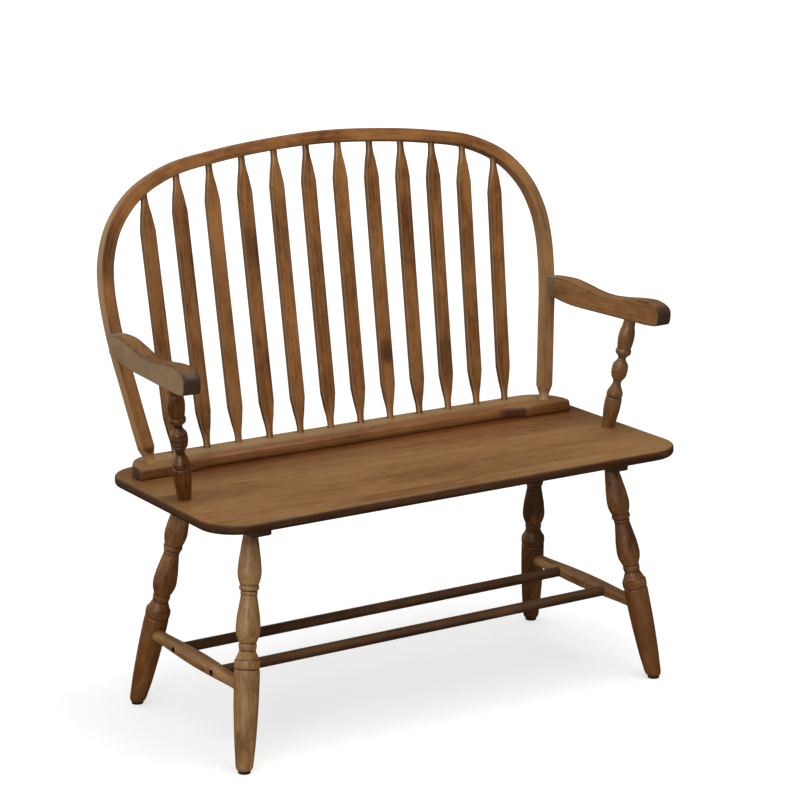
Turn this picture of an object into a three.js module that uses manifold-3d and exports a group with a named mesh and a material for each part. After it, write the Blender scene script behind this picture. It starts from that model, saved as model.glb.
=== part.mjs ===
// Deacons bench: plank seat on four turned legs, a bent bow filled with arrow spindles,
// scooped arms on turned posts, and a stretcher frame of two swelled bars and two rods.
// Millimetres. X runs along the bench, -Y is the front, +Z is up, the floor is Z = 0.
import * as THREE from 'three';
import { mergeVertices } from 'three/addons/utils/BufferGeometryUtils.js';
import Module from 'manifold-3d';

const wasm = await Module();
wasm.setup();

// Fits: the air left round every tenon, screw and seated face
const fitGap = 0.3;
const weldDistance = 0.0001;
// How far a cutter stands clear of the body it cuts
const cutterReach = 80;
const middleShare = 0.5;

// Seat plank
const seatTop = 450;
const seatThickness = 18;
const seatHalfWidth = 497;
const seatFrontY = -224;
const seatBackY = 212;
const seatFrontCorner = 72;
const seatBackCorner = 66;
const seatEdgeRound = 3;

// Rail on the seat: narrow in the middle, deeper under the feet of the bow, its front top edge
// bevelled off above an upright face
const railThickness = 21;
const railEndInset = 27;
const railBackInset = 13;
const railWaistDepth = 72;
const railEndDepth = 86;
const railEndLength = 100;
const railSweepLength = 70;
const railBackCorner = 70;
const railFrontCorner = 4;
const railEdgeRound = 1.5;
const railUprightHeight = 9;
const railWaistBevel = 13;
const railEndBevel = 7;
// Pull of the sweep from the waist to the corner of the end: share of its length, share of its step
const railSweepShares = [[0.42, 0], [0.72, 0.45]];
// Bevel from the upright face to the top: share of the way up, share of the way back
const railBevelShares = [[0, 0], [0.5, 0.16], [0.85, 0.5], [1, 1]];
const railHalfWidth = seatHalfWidth - railEndInset;
const railBackY = seatBackY - railBackInset;
const railFrontY = railBackY - railWaistDepth;
const railEndFrontY = railBackY - railEndDepth;
const railEndInnerX = railHalfWidth - railEndLength;
const railWaistX = railEndInnerX - railSweepLength;

// Bent bow: a rounded square bar leaning back as one flat hoop
const bowEndInset = 22;
const bowHeight = 548;
const bowFootSetback = 36.7;
const bowLeanDegrees = 12.7;
const bowWidth = 24;
const bowDepth = 24.5;
const bowEdgeRound = 2.2;
const bowTenonRadius = 9.7;
const bowTenonInSeat = 10;
const bowNeckHeight = 7;
const bowFlatHeight = 15;
const bowShoulderHeight = 29;
const bowShoulderRadius = 16;
const bowCutterRadius = 34;
const bowHalfSpan = seatHalfWidth - bowEndInset;
const bowFootY = railEndFrontY + bowFootSetback;
// Half of the hoop: share of the half span, share of the height above the rail
const bowHalfShares = [
  [0.908, 0], [0.917, 0.043], [0.938, 0.144], [0.961, 0.262], [0.983, 0.373], [0.996, 0.475],
  [1, 0.576], [0.987, 0.67], [0.939, 0.773], [0.838, 0.869], [0.678, 0.937], [0.483, 0.969],
  [0.272, 0.989], [0, 1],
];

// Twelve flat arrow spindles
const spindleCount = 12;
const spindleBackInset = 14;
const spindleWidth = 28.5;
const spindleThickness = 11;
const spindleEdgeRound = 2.5;
const spindleNeck = 12.6;
const spindleTenonLow = 12;
const spindleTenonHigh = 10;
const spindleArrowLength = 66;
const spindleBend = 1.2;
const spindleRowY = railBackY - spindleBackInset;
// Spacing of the row on the rail and under the bow: shares of the half span of the bow
const pitchLowShare = 0.1387;
const pitchHighShare = 0.1451;
const spindlePitchLow = pitchLowShare * bowHalfSpan;
const spindlePitchHigh = pitchHighShare * bowHalfSpan;
// Arrow end: share of the arrow length from the neck, share of the growth to full width
const arrowShares = [[0.33, 0.05], [0.6, 0.45], [0.84, 0.88], [1, 1]];

// Arms
const armTipSetback = 84;
const armTipOverhang = 0.5;
const armBackInset = 1;
const armHeight = 210;
const armRise = 46;
const armWidth = 32;
const armEdgeRound = 1.5;
const armEndNarrow = 6;
const armEndTaper = 30;
const armTipX = seatHalfWidth + armTipOverhang;
const armTipY = seatFrontY + armTipSetback;
const armUnderside = seatTop + armHeight;
const armBackX = bowHalfSpan - armBackInset;
// Side outline from the back underside round the knuckle to the back top:
// share of the arm length from the tip, share of the rise above the underside
const armOutlineShares = [
  [1.06, 0.28], [1, 0.25], [0.92, 0.17], [0.855, 0.085], [0.77, 0.02], [0.68, 0], [0.45, 0],
  [0.25, 0], [0.18, 0], [0.12, 0], [0.054, 0.03], [0.018, 0.08], [0.005, 0.23], [0, 0.5],
  [0.006, 0.69], [0.033, 0.84], [0.08, 0.945], [0.13, 0.975], [0.226, 0.92], [0.343, 0.81],
  [0.47, 0.74], [0.58, 0.79], [0.684, 0.915], [0.786, 1.02], [0.85, 1.03], [0.92, 1.01],
  [1, 0.97], [1.06, 0.95],
];

// Arm posts
const postFootInset = 40.5;
const postFootSetback = 198;
const postHeadInset = 13;
const postHeadSetback = 89;
const postRadius = 16;
const postTenonLow = 10;
const postTenonHigh = 18;
const postTenonRadius = 7;
const postFootX = seatHalfWidth - postFootInset;
const postFootY = seatFrontY + postFootSetback;
const postHeadX = armTipX - postHeadInset;
const postHeadY = armTipY + postHeadSetback;
// Turned profile: share of the height between seat and arm, share of the widest radius
const postTurningShares = [
  [0, 0.76], [0.11, 0.9], [0.21, 1], [0.272, 0.98], [0.282, 0.82], [0.292, 0.95],
  [0.325, 0.96], [0.35, 0.78], [0.38, 0.58], [0.415, 0.48], [0.45, 0.66], [0.48, 0.9],
  [0.503, 0.96], [0.512, 0.87], [0.54, 0.97], [0.585, 0.9], [0.615, 0.6],
  [0.645, 0.5], [0.67, 0.78], [0.7, 0.94], [0.725, 0.8], [0.76, 0.88], [0.83, 0.97],
  [0.9, 0.86], [1, 0.7],
];

// Legs: the axis of each runs from the floor to the underside of the seat
const legFootInset = 53;
const legTopInset = 115.5;
const legFrontFootInset = 22;
const legBackFootInset = 10;
const legFrontTopInset = 97;
const legBackTopInset = 107;
const legRadius = 22.6;
const legTenonInSeat = 7;
const legBelowFloor = 12;
const legFootX = seatHalfWidth - legFootInset;
const legTopX = seatHalfWidth - legTopInset;
const legFrontFootY = seatFrontY + legFrontFootInset;
const legBackFootY = seatBackY - legBackFootInset;
const legFrontTopY = seatFrontY + legFrontTopInset;
const legBackTopY = seatBackY - legBackTopInset;
// Turned profile: share of the height to the seat, share of the widest radius
const legTurningShares = [
  [0.01, 0.56], [0.03, 0.68], [0.074, 0.755], [0.12, 0.83], [0.19, 0.905], [0.28, 0.97],
  [0.395, 0.985], [0.403, 0.91], [0.411, 0.98], [0.437, 0.985], [0.448, 0.88], [0.467, 0.7],
  [0.477, 0.63], [0.487, 0.69], [0.5, 0.69], [0.508, 0.64], [0.53, 0.86], [0.545, 0.93],
  [0.56, 0.955], [0.59, 0.91], [0.65, 0.75], [0.69, 0.63], [0.703, 0.66], [0.712, 0.76],
  [0.732, 0.76], [0.75, 0.84], [0.768, 0.91], [0.783, 0.925], [0.84, 0.82], [0.89, 0.66],
  [0.925, 0.56],
];

// Glides tacked under the legs
const glideHeight = 5;
const glideRadius = 11;
const glideChamfer = 1;
const glideNailRadius = 1.6;
const glideNailLength = 12;

// Side stretchers between a front and a back leg
const stretcherHeight = 142.3;
const stretcherRadius = 14.8;
const stretcherTenonDepth = 13;
// Swelling: share of the length between leg axes, share of the widest radius
const stretcherShares = [
  [0.12, 0.79], [0.25, 0.88], [0.38, 0.97], [0.5, 1], [0.62, 0.97], [0.75, 0.88], [0.88, 0.79],
];

// Two long rods between the side stretchers
const rodRadius = 9.8;
const rodSpread = 71;
const rodTenonDepth = 4;

// Cleats under the seat
const cleatWidth = 38;
const cleatThickness = 27.5;
const cleatFrontReach = 37;
const cleatBackReach = 35;
const cleatEdgeRound = 2;
const cleatInnerX = legTopX - cleatWidth / 2;
const cleatFrontY = legFrontTopY - cleatFrontReach;
const cleatBackY = legBackTopY + cleatBackReach;

// Screws: one head and shank, in four lengths and depths
const screwHeadRadius = 4.2;
const screwHeadHeight = 3;
const screwShankRadius = 2.1;
const rodScrewLength = 34;
const rodScrewSink = 6;
const armScrewLength = 44;
const armScrewSink = 5;
const cleatScrewLength = 34;
const cleatScrewSink = 4;
const railScrewLength = 26;
const railScrewSink = 3;
const rodScrew = { length: rodScrewLength, sink: rodScrewSink };
const armScrew = { length: armScrewLength, sink: armScrewSink };
const cleatScrew = { length: cleatScrewLength, sink: cleatScrewSink };
const railScrew = { length: railScrewLength, sink: railScrewSink };
const armScrewRiseShare = 0.6;
const cleatScrewInset = 100;
const railScrewSetback = 35;
// Places of the rail screws along the rail: spacings of the spindle row from the middle
const railScrewShares = [-4, -2, 0, 2, 4];

// Facets
const legSides = 14;
const postSides = 12;
const rodSides = 12;
const socketSides = 10;
const screwSides = 8;
const bowSteps = 42;
const bowCornerSteps = 3;
const spindleCornerSteps = 2;
const outlineSteps = 5;

const sideNames = [[-1, 'left'], [1, 'right']];

const materials = {
  seatWood: wood('#8a6038', 0.42),
  backWood: wood('#7a4c28', 0.45),
  armWood: wood('#6d4a30', 0.45),
  legWood: wood('#74512f', 0.48),
  darkWood: wood('#4a2f1c', 0.5),
  glide: new THREE.MeshStandardMaterial({ color: '#141414', roughness: 0.6, metalness: 0 }),
  steel: new THREE.MeshStandardMaterial({ color: '#3a3a3a', roughness: 0.4, metalness: 1 }),
};

function wood(color, roughness) {
  return new THREE.MeshStandardMaterial({ color, roughness, metalness: 0 });
}

function at(x, y, z) {
  return new THREE.Vector3(x, y, z);
}

// Closed body of revolution about +Z from rows of [radius, height]; it starts and ends on the axis.
function turned(rows, sides) {
  const first = rows[0];
  const last = rows[rows.length - 1];
  const outline = [[0, first[1]], ...rows, [0, last[1]]];
  const points = outline.map(([radius, height]) => new THREE.Vector2(radius, height));
  return new THREE.LatheGeometry(points, sides).rotateX(Math.PI / 2);
}

// Turns a shape built along +Z so that +Z runs from one point towards another.
function aimed(geometry, from, to) {
  const direction = to.clone().sub(from).normalize();
  const turn = new THREE.Quaternion().setFromUnitVectors(at(0, 0, 1), direction);
  return geometry.applyQuaternion(turn).translate(from.x, from.y, from.z);
}

// Straight round bar between two points
function bar(from, to, radius, sides) {
  const length = from.distanceTo(to);
  return aimed(turned([[radius, 0], [radius, length]], sides), from, to);
}

// Box between two corners
function block(low, high) {
  const size = high.clone().sub(low);
  const middle = low.clone().add(high).multiplyScalar(0.5);
  return new THREE.BoxGeometry(size.x, size.y, size.z).translate(middle.x, middle.y, middle.z);
}

function solidOf(geometry) {
  const bare = geometry.clone();
  bare.deleteAttribute('normal');
  bare.deleteAttribute('uv');
  const welded = mergeVertices(bare, weldDistance);
  const index = welded.index.array;
  const corners = [];
  for (let i = 0; i < index.length; i += 3) {
    const [a, b, c] = [index[i], index[i + 1], index[i + 2]];
    if (a !== b && b !== c && c !== a) {
      corners.push(a, b, c);
    }
  }
  return new wasm.Manifold(new wasm.Mesh({
    numProp: 3,
    vertProperties: new Float32Array(welded.attributes.position.array),
    triVerts: new Uint32Array(corners),
  }));
}

function geometryOf(solid) {
  const mesh = solid.getMesh();
  const geometry = new THREE.BufferGeometry();
  const positions = new Float32Array(mesh.vertProperties);
  geometry.setAttribute('position', new THREE.BufferAttribute(positions, 3));
  geometry.setIndex(new THREE.BufferAttribute(new Uint32Array(mesh.triVerts), 1));
  geometry.computeVertexNormals();
  return geometry;
}

// Takes cutters away from a body
function cut(geometry, cutters) {
  let solid = solidOf(geometry);
  for (const cutter of cutters) {
    solid = solid.subtract(solidOf(cutter));
  }
  return geometryOf(solid);
}

function joined(first, second) {
  return geometryOf(solidOf(first).add(solidOf(second)));
}

// Rounded rectangle in the plane of two unit vectors, as a ring of points round a centre
function ringAt(centre, across, deep, halfWidth, halfDepth, round, cornerSteps) {
  const ring = [];
  const quadrants = [[1, 1], [-1, 1], [-1, -1], [1, -1]];
  quadrants.forEach(([sx, sy], quarter) => {
    for (let step = 0; step < cornerSteps; step += 1) {
      const angle = (quarter + (step + 0.5) / cornerSteps) * Math.PI / 2;
      const a = sx * (halfWidth - round) + round * Math.cos(angle);
      const b = sy * (halfDepth - round) + round * Math.sin(angle);
      ring.push(centre.clone().addScaledVector(across, a).addScaledVector(deep, b));
    }
  });
  return ring;
}

// Skin over a row of rings; the triangles of the first ring, by corner number, close both ends
function skinned(rings, triangles) {
  const count = rings[0].length;
  const positions = rings.flat().flatMap((point) => [point.x, point.y, point.z]);
  const index = [];
  for (let r = 0; r + 1 < rings.length; r += 1) {
    for (let i = 0; i < count; i += 1) {
      const a = r * count + i;
      const b = r * count + (i + 1) % count;
      index.push(a, b, b + count, a, b + count, a + count);
    }
  }
  const lastStart = (rings.length - 1) * count;
  for (const [a, b, c] of triangles) {
    index.push(a, c, b);
    index.push(lastStart + a, lastStart + b, lastStart + c);
  }
  const geometry = new THREE.BufferGeometry();
  geometry.setAttribute('position', new THREE.Float32BufferAttribute(positions, 3));
  geometry.setIndex(index);
  return geometry;
}

// Skin over convex rings
function lofted(rings) {
  const fan = rings[0].slice(2).map((_, i) => [0, i + 1, i + 2]);
  return skinned(rings, fan);
}

// Skin over level rings of any outline, from the lowest up
function stacked(rings) {
  const contour = rings[0].map((point) => new THREE.Vector2(point.x, point.y));
  return skinned(rings, THREE.ShapeUtils.triangulateShape(contour, []));
}

// Plank from a flat outline with its edges rounded over, standing on the given height
function plank(shape, bottom, thickness, round, roundSteps) {
  const geometry = new THREE.ExtrudeGeometry(shape, {
    depth: thickness - round - round,
    bevelEnabled: true,
    bevelThickness: round,
    bevelSize: round,
    bevelOffset: -round,
    bevelSegments: roundSteps,
    curveSegments: outlineSteps,
  });
  return geometry.translate(0, 0, bottom + round);
}

// Seat outline: large round corners at the front, smaller ones at the back
function seatOutline() {
  const shape = new THREE.Shape();
  const front = seatFrontCorner;
  const back = seatBackCorner;
  const side = seatHalfWidth;
  shape.moveTo(-side + front, seatFrontY);
  shape.absarc(side - front, seatFrontY + front, front, -Math.PI / 2, 0, false);
  shape.absarc(side - back, seatBackY - back, back, 0, Math.PI / 2, false);
  shape.absarc(-side + back, seatBackY - back, back, Math.PI / 2, Math.PI, false);
  shape.absarc(-side + front, seatFrontY + front, front, Math.PI, Math.PI * 1.5, false);
  return shape;
}

const seatBottom = seatTop - seatThickness;
const railTop = seatTop + railThickness;
const bowLean = THREE.MathUtils.degToRad(bowLeanDegrees);
const bowUp = at(0, Math.sin(bowLean), Math.cos(bowLean));
const bowBack = at(0, Math.cos(bowLean), -Math.sin(bowLean));

// Point on the leaning plane of the bow
function bowPoint(x, up) {
  return at(x, bowFootY, railTop).addScaledVector(bowUp, up);
}

const bowHalf = bowHalfShares.map(([span, rise]) => bowPoint(span * bowHalfSpan, rise * bowHeight));
const bowMirrored = bowHalf.slice(0, -1).reverse().map((point) => at(-point.x, point.y, point.z));
const bowLine = new THREE.CatmullRomCurve3([...bowHalf, ...bowMirrored], false, 'centripetal');

// Where the centre line of the bow passes over a given x, on its upper half
function bowOver(x) {
  const samples = bowLine.getPoints(bowSteps * bowSteps);
  const crown = samples.filter((point) => point.z > railTop + bowHeight / 2);
  return crown.reduce((best, point) => (Math.abs(point.x - x) < Math.abs(best.x - x) ? point : best));
}

// Direction in which a foot of the bow enters the rail
function bowFootDirection(side) {
  const [foot, next] = [bowHalf[0], bowHalf[1]];
  return at(side * (foot.x - next.x), foot.y - next.y, foot.z - next.z).normalize();
}

function bowFoot(side) {
  return at(side * bowHalf[0].x, bowHalf[0].y, bowHalf[0].z);
}

// Slanted distance from the rail top to the end of a bow tenon
const bowTenonLength = (railThickness + bowTenonInSeat) / Math.cos(bowLean);

function bowSocket(side) {
  const direction = bowFootDirection(side);
  const start = bowFoot(side).addScaledVector(direction, -bowNeckHeight);
  const end = bowFoot(side).addScaledVector(direction, bowTenonLength + fitGap);
  return bar(start, end, bowTenonRadius + fitGap, legSides);
}

// Ring-shaped cutter that turns the square foot of the bow down to its round tenon
function bowFootCutter(side) {
  const direction = bowFootDirection(side);
  const foot = bowFoot(side);
  const reach = bowTenonLength + bowTenonLength;
  const points = [
    [bowTenonRadius, -reach], [bowCutterRadius, -reach], [bowCutterRadius, bowShoulderHeight],
    [bowShoulderRadius, bowShoulderHeight], [bowWidth / 2, bowFlatHeight], [bowTenonRadius, bowNeckHeight],
    [bowTenonRadius, -reach],
  ].map(([radius, height]) => new THREE.Vector2(radius, height));
  const ring = new THREE.LatheGeometry(points, legSides).rotateX(Math.PI / 2);
  return aimed(ring, foot, foot.clone().sub(direction));
}

function backBow() {
  const rings = [];
  const tips = [1, -1].map((side) => bowFoot(side).addScaledVector(bowFootDirection(side), bowTenonLength));
  const line = [tips[0], ...bowLine.getSpacedPoints(bowSteps), tips[1]];
  line.forEach((point, i) => {
    const before = line[Math.max(i - 1, 0)];
    const after = line[Math.min(i + 1, line.length - 1)];
    const along = after.clone().sub(before).normalize();
    const across = new THREE.Vector3().crossVectors(bowBack, along).normalize();
    rings.push(ringAt(point, across, bowBack, bowWidth / 2, bowDepth / 2, bowEdgeRound, bowCornerSteps));
  });
  const sockets = spindlePlaces().map((place) => spindleSocketHigh(place));
  const drilled = [...sockets, bowFootCutter(1), bowFootCutter(-1), armScrewHole(1), armScrewHole(-1)];
  return cut(lofted(rings), drilled);
}

// Lower and upper axis points of every spindle
function spindlePlaces() {
  return Array.from({ length: spindleCount }, (_, i) => {
    const place = i - (spindleCount - 1) / 2;
    const low = at(place * spindlePitchLow, spindleRowY, railTop);
    const high = bowOver(place * spindlePitchHigh);
    return { low, high };
  });
}

// Axis of a spindle bent a little to the back, by the share of the way up
function spindleAxis({ low, high }, share) {
  const bowed = 4 * share * (1 - share);
  return low.clone().lerp(high, share).addScaledVector(bowBack, spindleBend * bowed);
}

function spindleSocketLow(place) {
  const length = place.low.distanceTo(place.high);
  const start = spindleAxis(place, spindleTenonLow / length);
  const end = spindleAxis(place, -(spindleTenonLow + fitGap) / length);
  return bar(end, start, spindleNeck / 2 + fitGap, socketSides);
}

function spindleSocketHigh(place) {
  const length = place.low.distanceTo(place.high);
  const depth = spindleTenonHigh - bowWidth / 2;
  const end = spindleAxis(place, 1 + (depth + fitGap) / length);
  const start = spindleAxis(place, 1 - bowWidth / length);
  return bar(start, end, spindleNeck / 2 + fitGap, socketSides);
}

function spindle(place) {
  const length = place.low.distanceTo(place.high);
  const lowEnd = -spindleTenonLow / length;
  const highEnd = 1 + (spindleTenonHigh - bowWidth / 2) / length;
  const highFace = 1 - bowWidth / 2 / length;
  const arrow = spindleArrowLength / length;
  const stations = [
    [lowEnd, 0], [0, 0], ...arrowShares.map(([way, growth]) => [way * arrow, growth]),
    [middleShare, 1],
    ...arrowShares.map(([way, growth]) => [highFace - way * arrow, growth]).reverse(),
    [highFace, 0], [highEnd, 0],
  ];
  const across = at(1, 0, 0);
  const rings = stations.map(([share, growth], i) => {
    const here = spindleAxis(place, share);
    const before = spindleAxis(place, stations[Math.max(i - 1, 0)][0]);
    const after = spindleAxis(place, stations[Math.min(i + 1, stations.length - 1)][0]);
    const along = after.clone().sub(before).normalize();
    const side = across.clone().addScaledVector(along, -along.x).normalize();
    const deep = new THREE.Vector3().crossVectors(along, side).normalize();
    const halfWidth = THREE.MathUtils.lerp(spindleNeck, spindleWidth, growth) / 2;
    const halfDepth = THREE.MathUtils.lerp(spindleNeck, spindleThickness, growth) / 2;
    const round = THREE.MathUtils.lerp(halfDepth, spindleEdgeRound, growth);
    return ringAt(here, side, deep, halfWidth, halfDepth, round, spindleCornerSteps);
  });
  return lofted(rings);
}

function seat() {
  const legHoles = legPlaces().map((leg) => legSocket(leg));
  const postHoles = [1, -1].map((side) => postSocketLow(side));
  const cleatHoles = cleatScrewPlaces().map((place) => screwHole(place, cleatScrew));
  const railHoles = railScrewPoints().map((place) => screwHole(place, railScrew));
  const body = plank(seatOutline(), seatBottom, seatThickness, seatEdgeRound, 2);
  return cut(body, [...legHoles, ...postHoles, bowSocket(1), bowSocket(-1), ...cleatHoles, ...railHoles]);
}

// Outline of the rail at a share of the way back over the bevel; mirrored about the middle
function railOutline(share) {
  const shape = new THREE.Shape();
  const inset = share * railEdgeRound;
  const end = railHalfWidth - inset;
  const ease = railFrontCorner - inset;
  const round = railBackCorner - inset;
  const back = railBackY - inset;
  const waist = railFrontY + share * railWaistBevel;
  const front = railEndFrontY + share * railEndBevel;
  const pulls = railSweepShares.map(([along, out]) => [
    railWaistX + along * railSweepLength, THREE.MathUtils.lerp(waist, front, out),
  ]);
  const [[leaveX, leaveY], [arriveX, arriveY]] = pulls;
  shape.moveTo(-railWaistX, waist);
  shape.lineTo(railWaistX, waist);
  shape.bezierCurveTo(leaveX, leaveY, arriveX, arriveY, railEndInnerX, front);
  shape.absarc(end - ease, front + ease, ease, -Math.PI / 2, 0, false);
  shape.absarc(end - round, back - round, round, 0, Math.PI / 2, false);
  shape.absarc(-end + round, back - round, round, Math.PI / 2, Math.PI, false);
  shape.absarc(-end + ease, front + ease, ease, Math.PI, Math.PI * 1.5, false);
  shape.lineTo(-railEndInnerX, front);
  shape.bezierCurveTo(-arriveX, arriveY, -leaveX, leaveY, -railWaistX, waist);
  return shape.getPoints(outlineSteps).slice(1);
}

function railBlank() {
  const bevelHeight = railThickness - railUprightHeight;
  const rows = [
    [seatTop + fitGap, 0],
    ...railBevelShares.map(([up, share]) => [seatTop + railUprightHeight + up * bevelHeight, share]),
  ];
  return stacked(rows.map(([height, share]) => railOutline(share).map((p) => at(p.x, p.y, height))));
}

function backRail() {
  const sockets = spindlePlaces().map((place) => spindleSocketLow(place));
  const screwHoles = railScrewPoints().map((place) => screwHole(place, railScrew));
  return cut(railBlank(), [...sockets, bowSocket(1), bowSocket(-1), ...screwHoles]);
}

function armTip(side) {
  return at(side * armTipX, armTipY, armUnderside);
}

// The centre line of an arm ends where the plane of the bow passes through it.
const armBackY = bowFootY + (armUnderside - railTop) * Math.tan(bowLean);

function armBack(side) {
  return at(side * armBackX, armBackY, armUnderside);
}

// Slab behind the front face of the bow, which trims the back end of an arm
function armTrim() {
  const face = bowDepth / 2 + fitGap;
  const reachX = armTipX + armWidth;
  const reachZ = armUnderside + armRise + cutterReach;
  const slab = block(at(-reachX, 0, -cutterReach), at(reachX, cutterReach, reachZ));
  return slab.rotateX(-bowLean).translate(0, bowFootY - face * bowBack.y, railTop - face * bowBack.z);
}

// Wedge off the inner cheek of an arm, where it narrows towards the bow
function armCheek(side) {
  const start = armBackY - armEndTaper;
  const inner = armBackX - armWidth / 2;
  const wedge = new THREE.Shape();
  const splay = (armTipX - armBackX) * (armEndTaper / (armBackY - armTipY));
  wedge.moveTo(inner + splay, start);
  wedge.lineTo(inner + armEndNarrow, armBackY);
  wedge.lineTo(inner + armEndNarrow + armEndNarrow, armBackY + armEndTaper);
  wedge.lineTo(inner - armWidth, armBackY + armEndTaper);
  wedge.lineTo(inner - armWidth, start);
  const depth = armRise + cutterReach + cutterReach;
  const geometry = new THREE.ExtrudeGeometry(wedge, { depth, bevelEnabled: false });
  geometry.translate(0, 0, armUnderside - cutterReach);
  return side > 0 ? geometry : mirroredX(geometry);
}

// Mirror image across the middle of the bench, with the faces turned right way out again
function mirroredX(geometry) {
  const flipped = solidOf(geometry).mirror([1, 0, 0]);
  return geometryOf(flipped);
}

function arm(side) {
  const tip = armTip(side);
  const back = armBack(side);
  const length = tip.distanceTo(back);
  const outline = armOutlineShares.map(([way, rise]) => new THREE.Vector2(way * length, rise * armRise));
  const shape = new THREE.Shape();
  shape.moveTo(outline[0].x, outline[0].y);
  shape.splineThru(outline.slice(1));
  const blank = new THREE.ExtrudeGeometry(shape, {
    depth: armWidth - armEdgeRound - armEdgeRound,
    bevelEnabled: true,
    bevelThickness: armEdgeRound,
    bevelSize: armEdgeRound,
    bevelOffset: -armEdgeRound,
    bevelSegments: 1,
    curveSegments: 2,
  });
  // The outline was drawn along X with its rise along Y; stand it up and run it from tip to back.
  blank.translate(0, 0, armEdgeRound - armWidth / 2).rotateX(Math.PI / 2);
  const splay = Math.atan2(back.y - tip.y, back.x - tip.x);
  blank.rotateZ(splay).translate(tip.x, tip.y, tip.z);
  return cut(blank, [armTrim(), armCheek(side), postSocketHigh(side), armScrewHole(side)]);
}

function postFoot(side) {
  return at(side * postFootX, postFootY, seatTop);
}

function postHead(side) {
  return at(side * postHeadX, postHeadY, armUnderside);
}

function postPoint(side, share) {
  return postFoot(side).lerp(postHead(side), share);
}

function postLength() {
  return postFoot(1).distanceTo(postHead(1));
}

function postSocketLow(side) {
  const length = postLength();
  const end = postPoint(side, -(postTenonLow + fitGap) / length);
  return bar(end, postPoint(side, postTenonLow / length), postTenonRadius + fitGap, socketSides);
}

function postSocketHigh(side) {
  const length = postLength();
  const end = postPoint(side, 1 + (postTenonHigh + fitGap) / length);
  return bar(postPoint(side, 1 - postTenonHigh / length), end, postTenonRadius + fitGap, socketSides);
}

// Box round a point, from one height to another, wide enough to cut a turned piece level
function levelCutter(point, bottom, top) {
  const low = at(point.x - cutterReach, point.y - cutterReach, bottom);
  const high = at(point.x + cutterReach, point.y + cutterReach, top);
  return block(low, high);
}

// Turned post, cut level where it stands on the seat and meets the arm, with a tenon at each end
function armPost(side) {
  const length = postLength();
  const rows = postTurningShares.map(([way, width]) => [width * postRadius, way * length]);
  const [first, last] = [rows[0], rows[rows.length - 1]];
  const long = [[first[0], -postRadius], ...rows, [last[0], length + postRadius]];
  const body = aimed(turned(long, postSides), postFoot(side), postHead(side));
  const below = levelCutter(postFoot(side), seatTop - cutterReach, seatTop + fitGap);
  const above = levelCutter(postHead(side), armUnderside - fitGap, armUnderside + cutterReach);
  const lowEnd = postPoint(side, -postTenonLow / length);
  const highEnd = postPoint(side, 1 + postTenonHigh / length);
  const tenon = bar(lowEnd, highEnd, postTenonRadius, socketSides);
  return joined(cut(body, [below, above]), tenon);
}

// The four legs by side and end
function legPlaces() {
  const places = [];
  for (const [side, sideName] of sideNames) {
    for (const end of ['front', 'back']) {
      const footY = end === 'front' ? legFrontFootY : legBackFootY;
      const topY = end === 'front' ? legFrontTopY : legBackTopY;
      places.push({
        name: `${end}_${sideName}`,
        side,
        end,
        foot: at(side * legFootX, footY, 0),
        top: at(side * legTopX, topY, seatBottom),
      });
    }
  }
  return places;
}

function legTopRadius() {
  return legTurningShares[legTurningShares.length - 1][1] * legRadius;
}

function legSocket(leg) {
  const length = leg.foot.distanceTo(leg.top);
  const start = leg.foot.clone().lerp(leg.top, 1 - cutterReach / length);
  const end = leg.foot.clone().lerp(leg.top, 1 + (legTenonInSeat + fitGap) / length);
  return bar(start, end, legTopRadius() + fitGap, legSides);
}

function legAt(leg, height) {
  return leg.foot.clone().lerp(leg.top, height / seatBottom);
}

function leg(place) {
  const length = place.foot.distanceTo(place.top);
  const rows = legTurningShares.map(([way, width]) => [width * legRadius, way * length]);
  const long = [[rows[0][0], -legBelowFloor], ...rows, [legTopRadius(), length + legTenonInSeat]];
  const body = aimed(turned(long, legSides), place.foot, place.top);
  const below = levelCutter(place.foot, -cutterReach, glideHeight + fitGap);
  const centre = legAt(place, glideHeight);
  const nailTop = at(centre.x, centre.y, glideHeight + glideNailLength + fitGap);
  const nailHole = bar(at(centre.x, centre.y, 0), nailTop, glideNailRadius + fitGap, screwSides);
  return cut(body, [below, nailHole, stretcherSocket(place)]);
}

// Hard glide disc with the nail that holds it
function glide(place) {
  const centre = legAt(place, glideHeight);
  const rows = [
    [glideRadius - glideChamfer, 0], [glideRadius, glideChamfer], [glideRadius, glideHeight],
    [glideNailRadius, glideHeight], [glideNailRadius, glideHeight + glideNailLength],
  ];
  return turned(rows, socketSides).translate(centre.x, centre.y, 0);
}

// Axis of a side stretcher between the two leg axes at stretcher height
function stretcherEnds(side) {
  const legs = legPlaces().filter((place) => place.side === side);
  return legs.map((place) => legAt(place, stretcherHeight));
}

function stretcherTenonRadius() {
  return stretcherShares[0][1] * stretcherRadius;
}

function stretcherSocket(place) {
  const [front, back] = stretcherEnds(place.side);
  const from = place.end === 'front' ? front : back;
  const to = place.end === 'front' ? back : front;
  const length = front.distanceTo(back);
  const bottom = from.clone().lerp(to, (legRadius - stretcherTenonDepth - fitGap) / length);
  const mouth = from.clone().lerp(to, (legRadius + stretcherTenonDepth) / length);
  return bar(bottom, mouth, stretcherTenonRadius() + fitGap, rodSides);
}

function sideStretcher(side) {
  const [front, back] = stretcherEnds(side);
  const length = front.distanceTo(back);
  const inset = legRadius - stretcherTenonDepth;
  const radius = stretcherTenonRadius();
  const rows = stretcherShares.map(([way, width]) => [width * stretcherRadius, way * length]);
  const long = [[radius, inset], ...rows, [radius, length - inset]];
  const body = aimed(turned(long, rodSides), front, back);
  const holes = rodPlaces().filter((rod) => rod.screws[side]).flatMap((rod) => [
    rodSocket(rod, side), screwHole(rod.screws[side], rodScrew), screwMouth(rod.screws[side], rodScrew),
  ]);
  return cut(body, holes);
}

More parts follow.
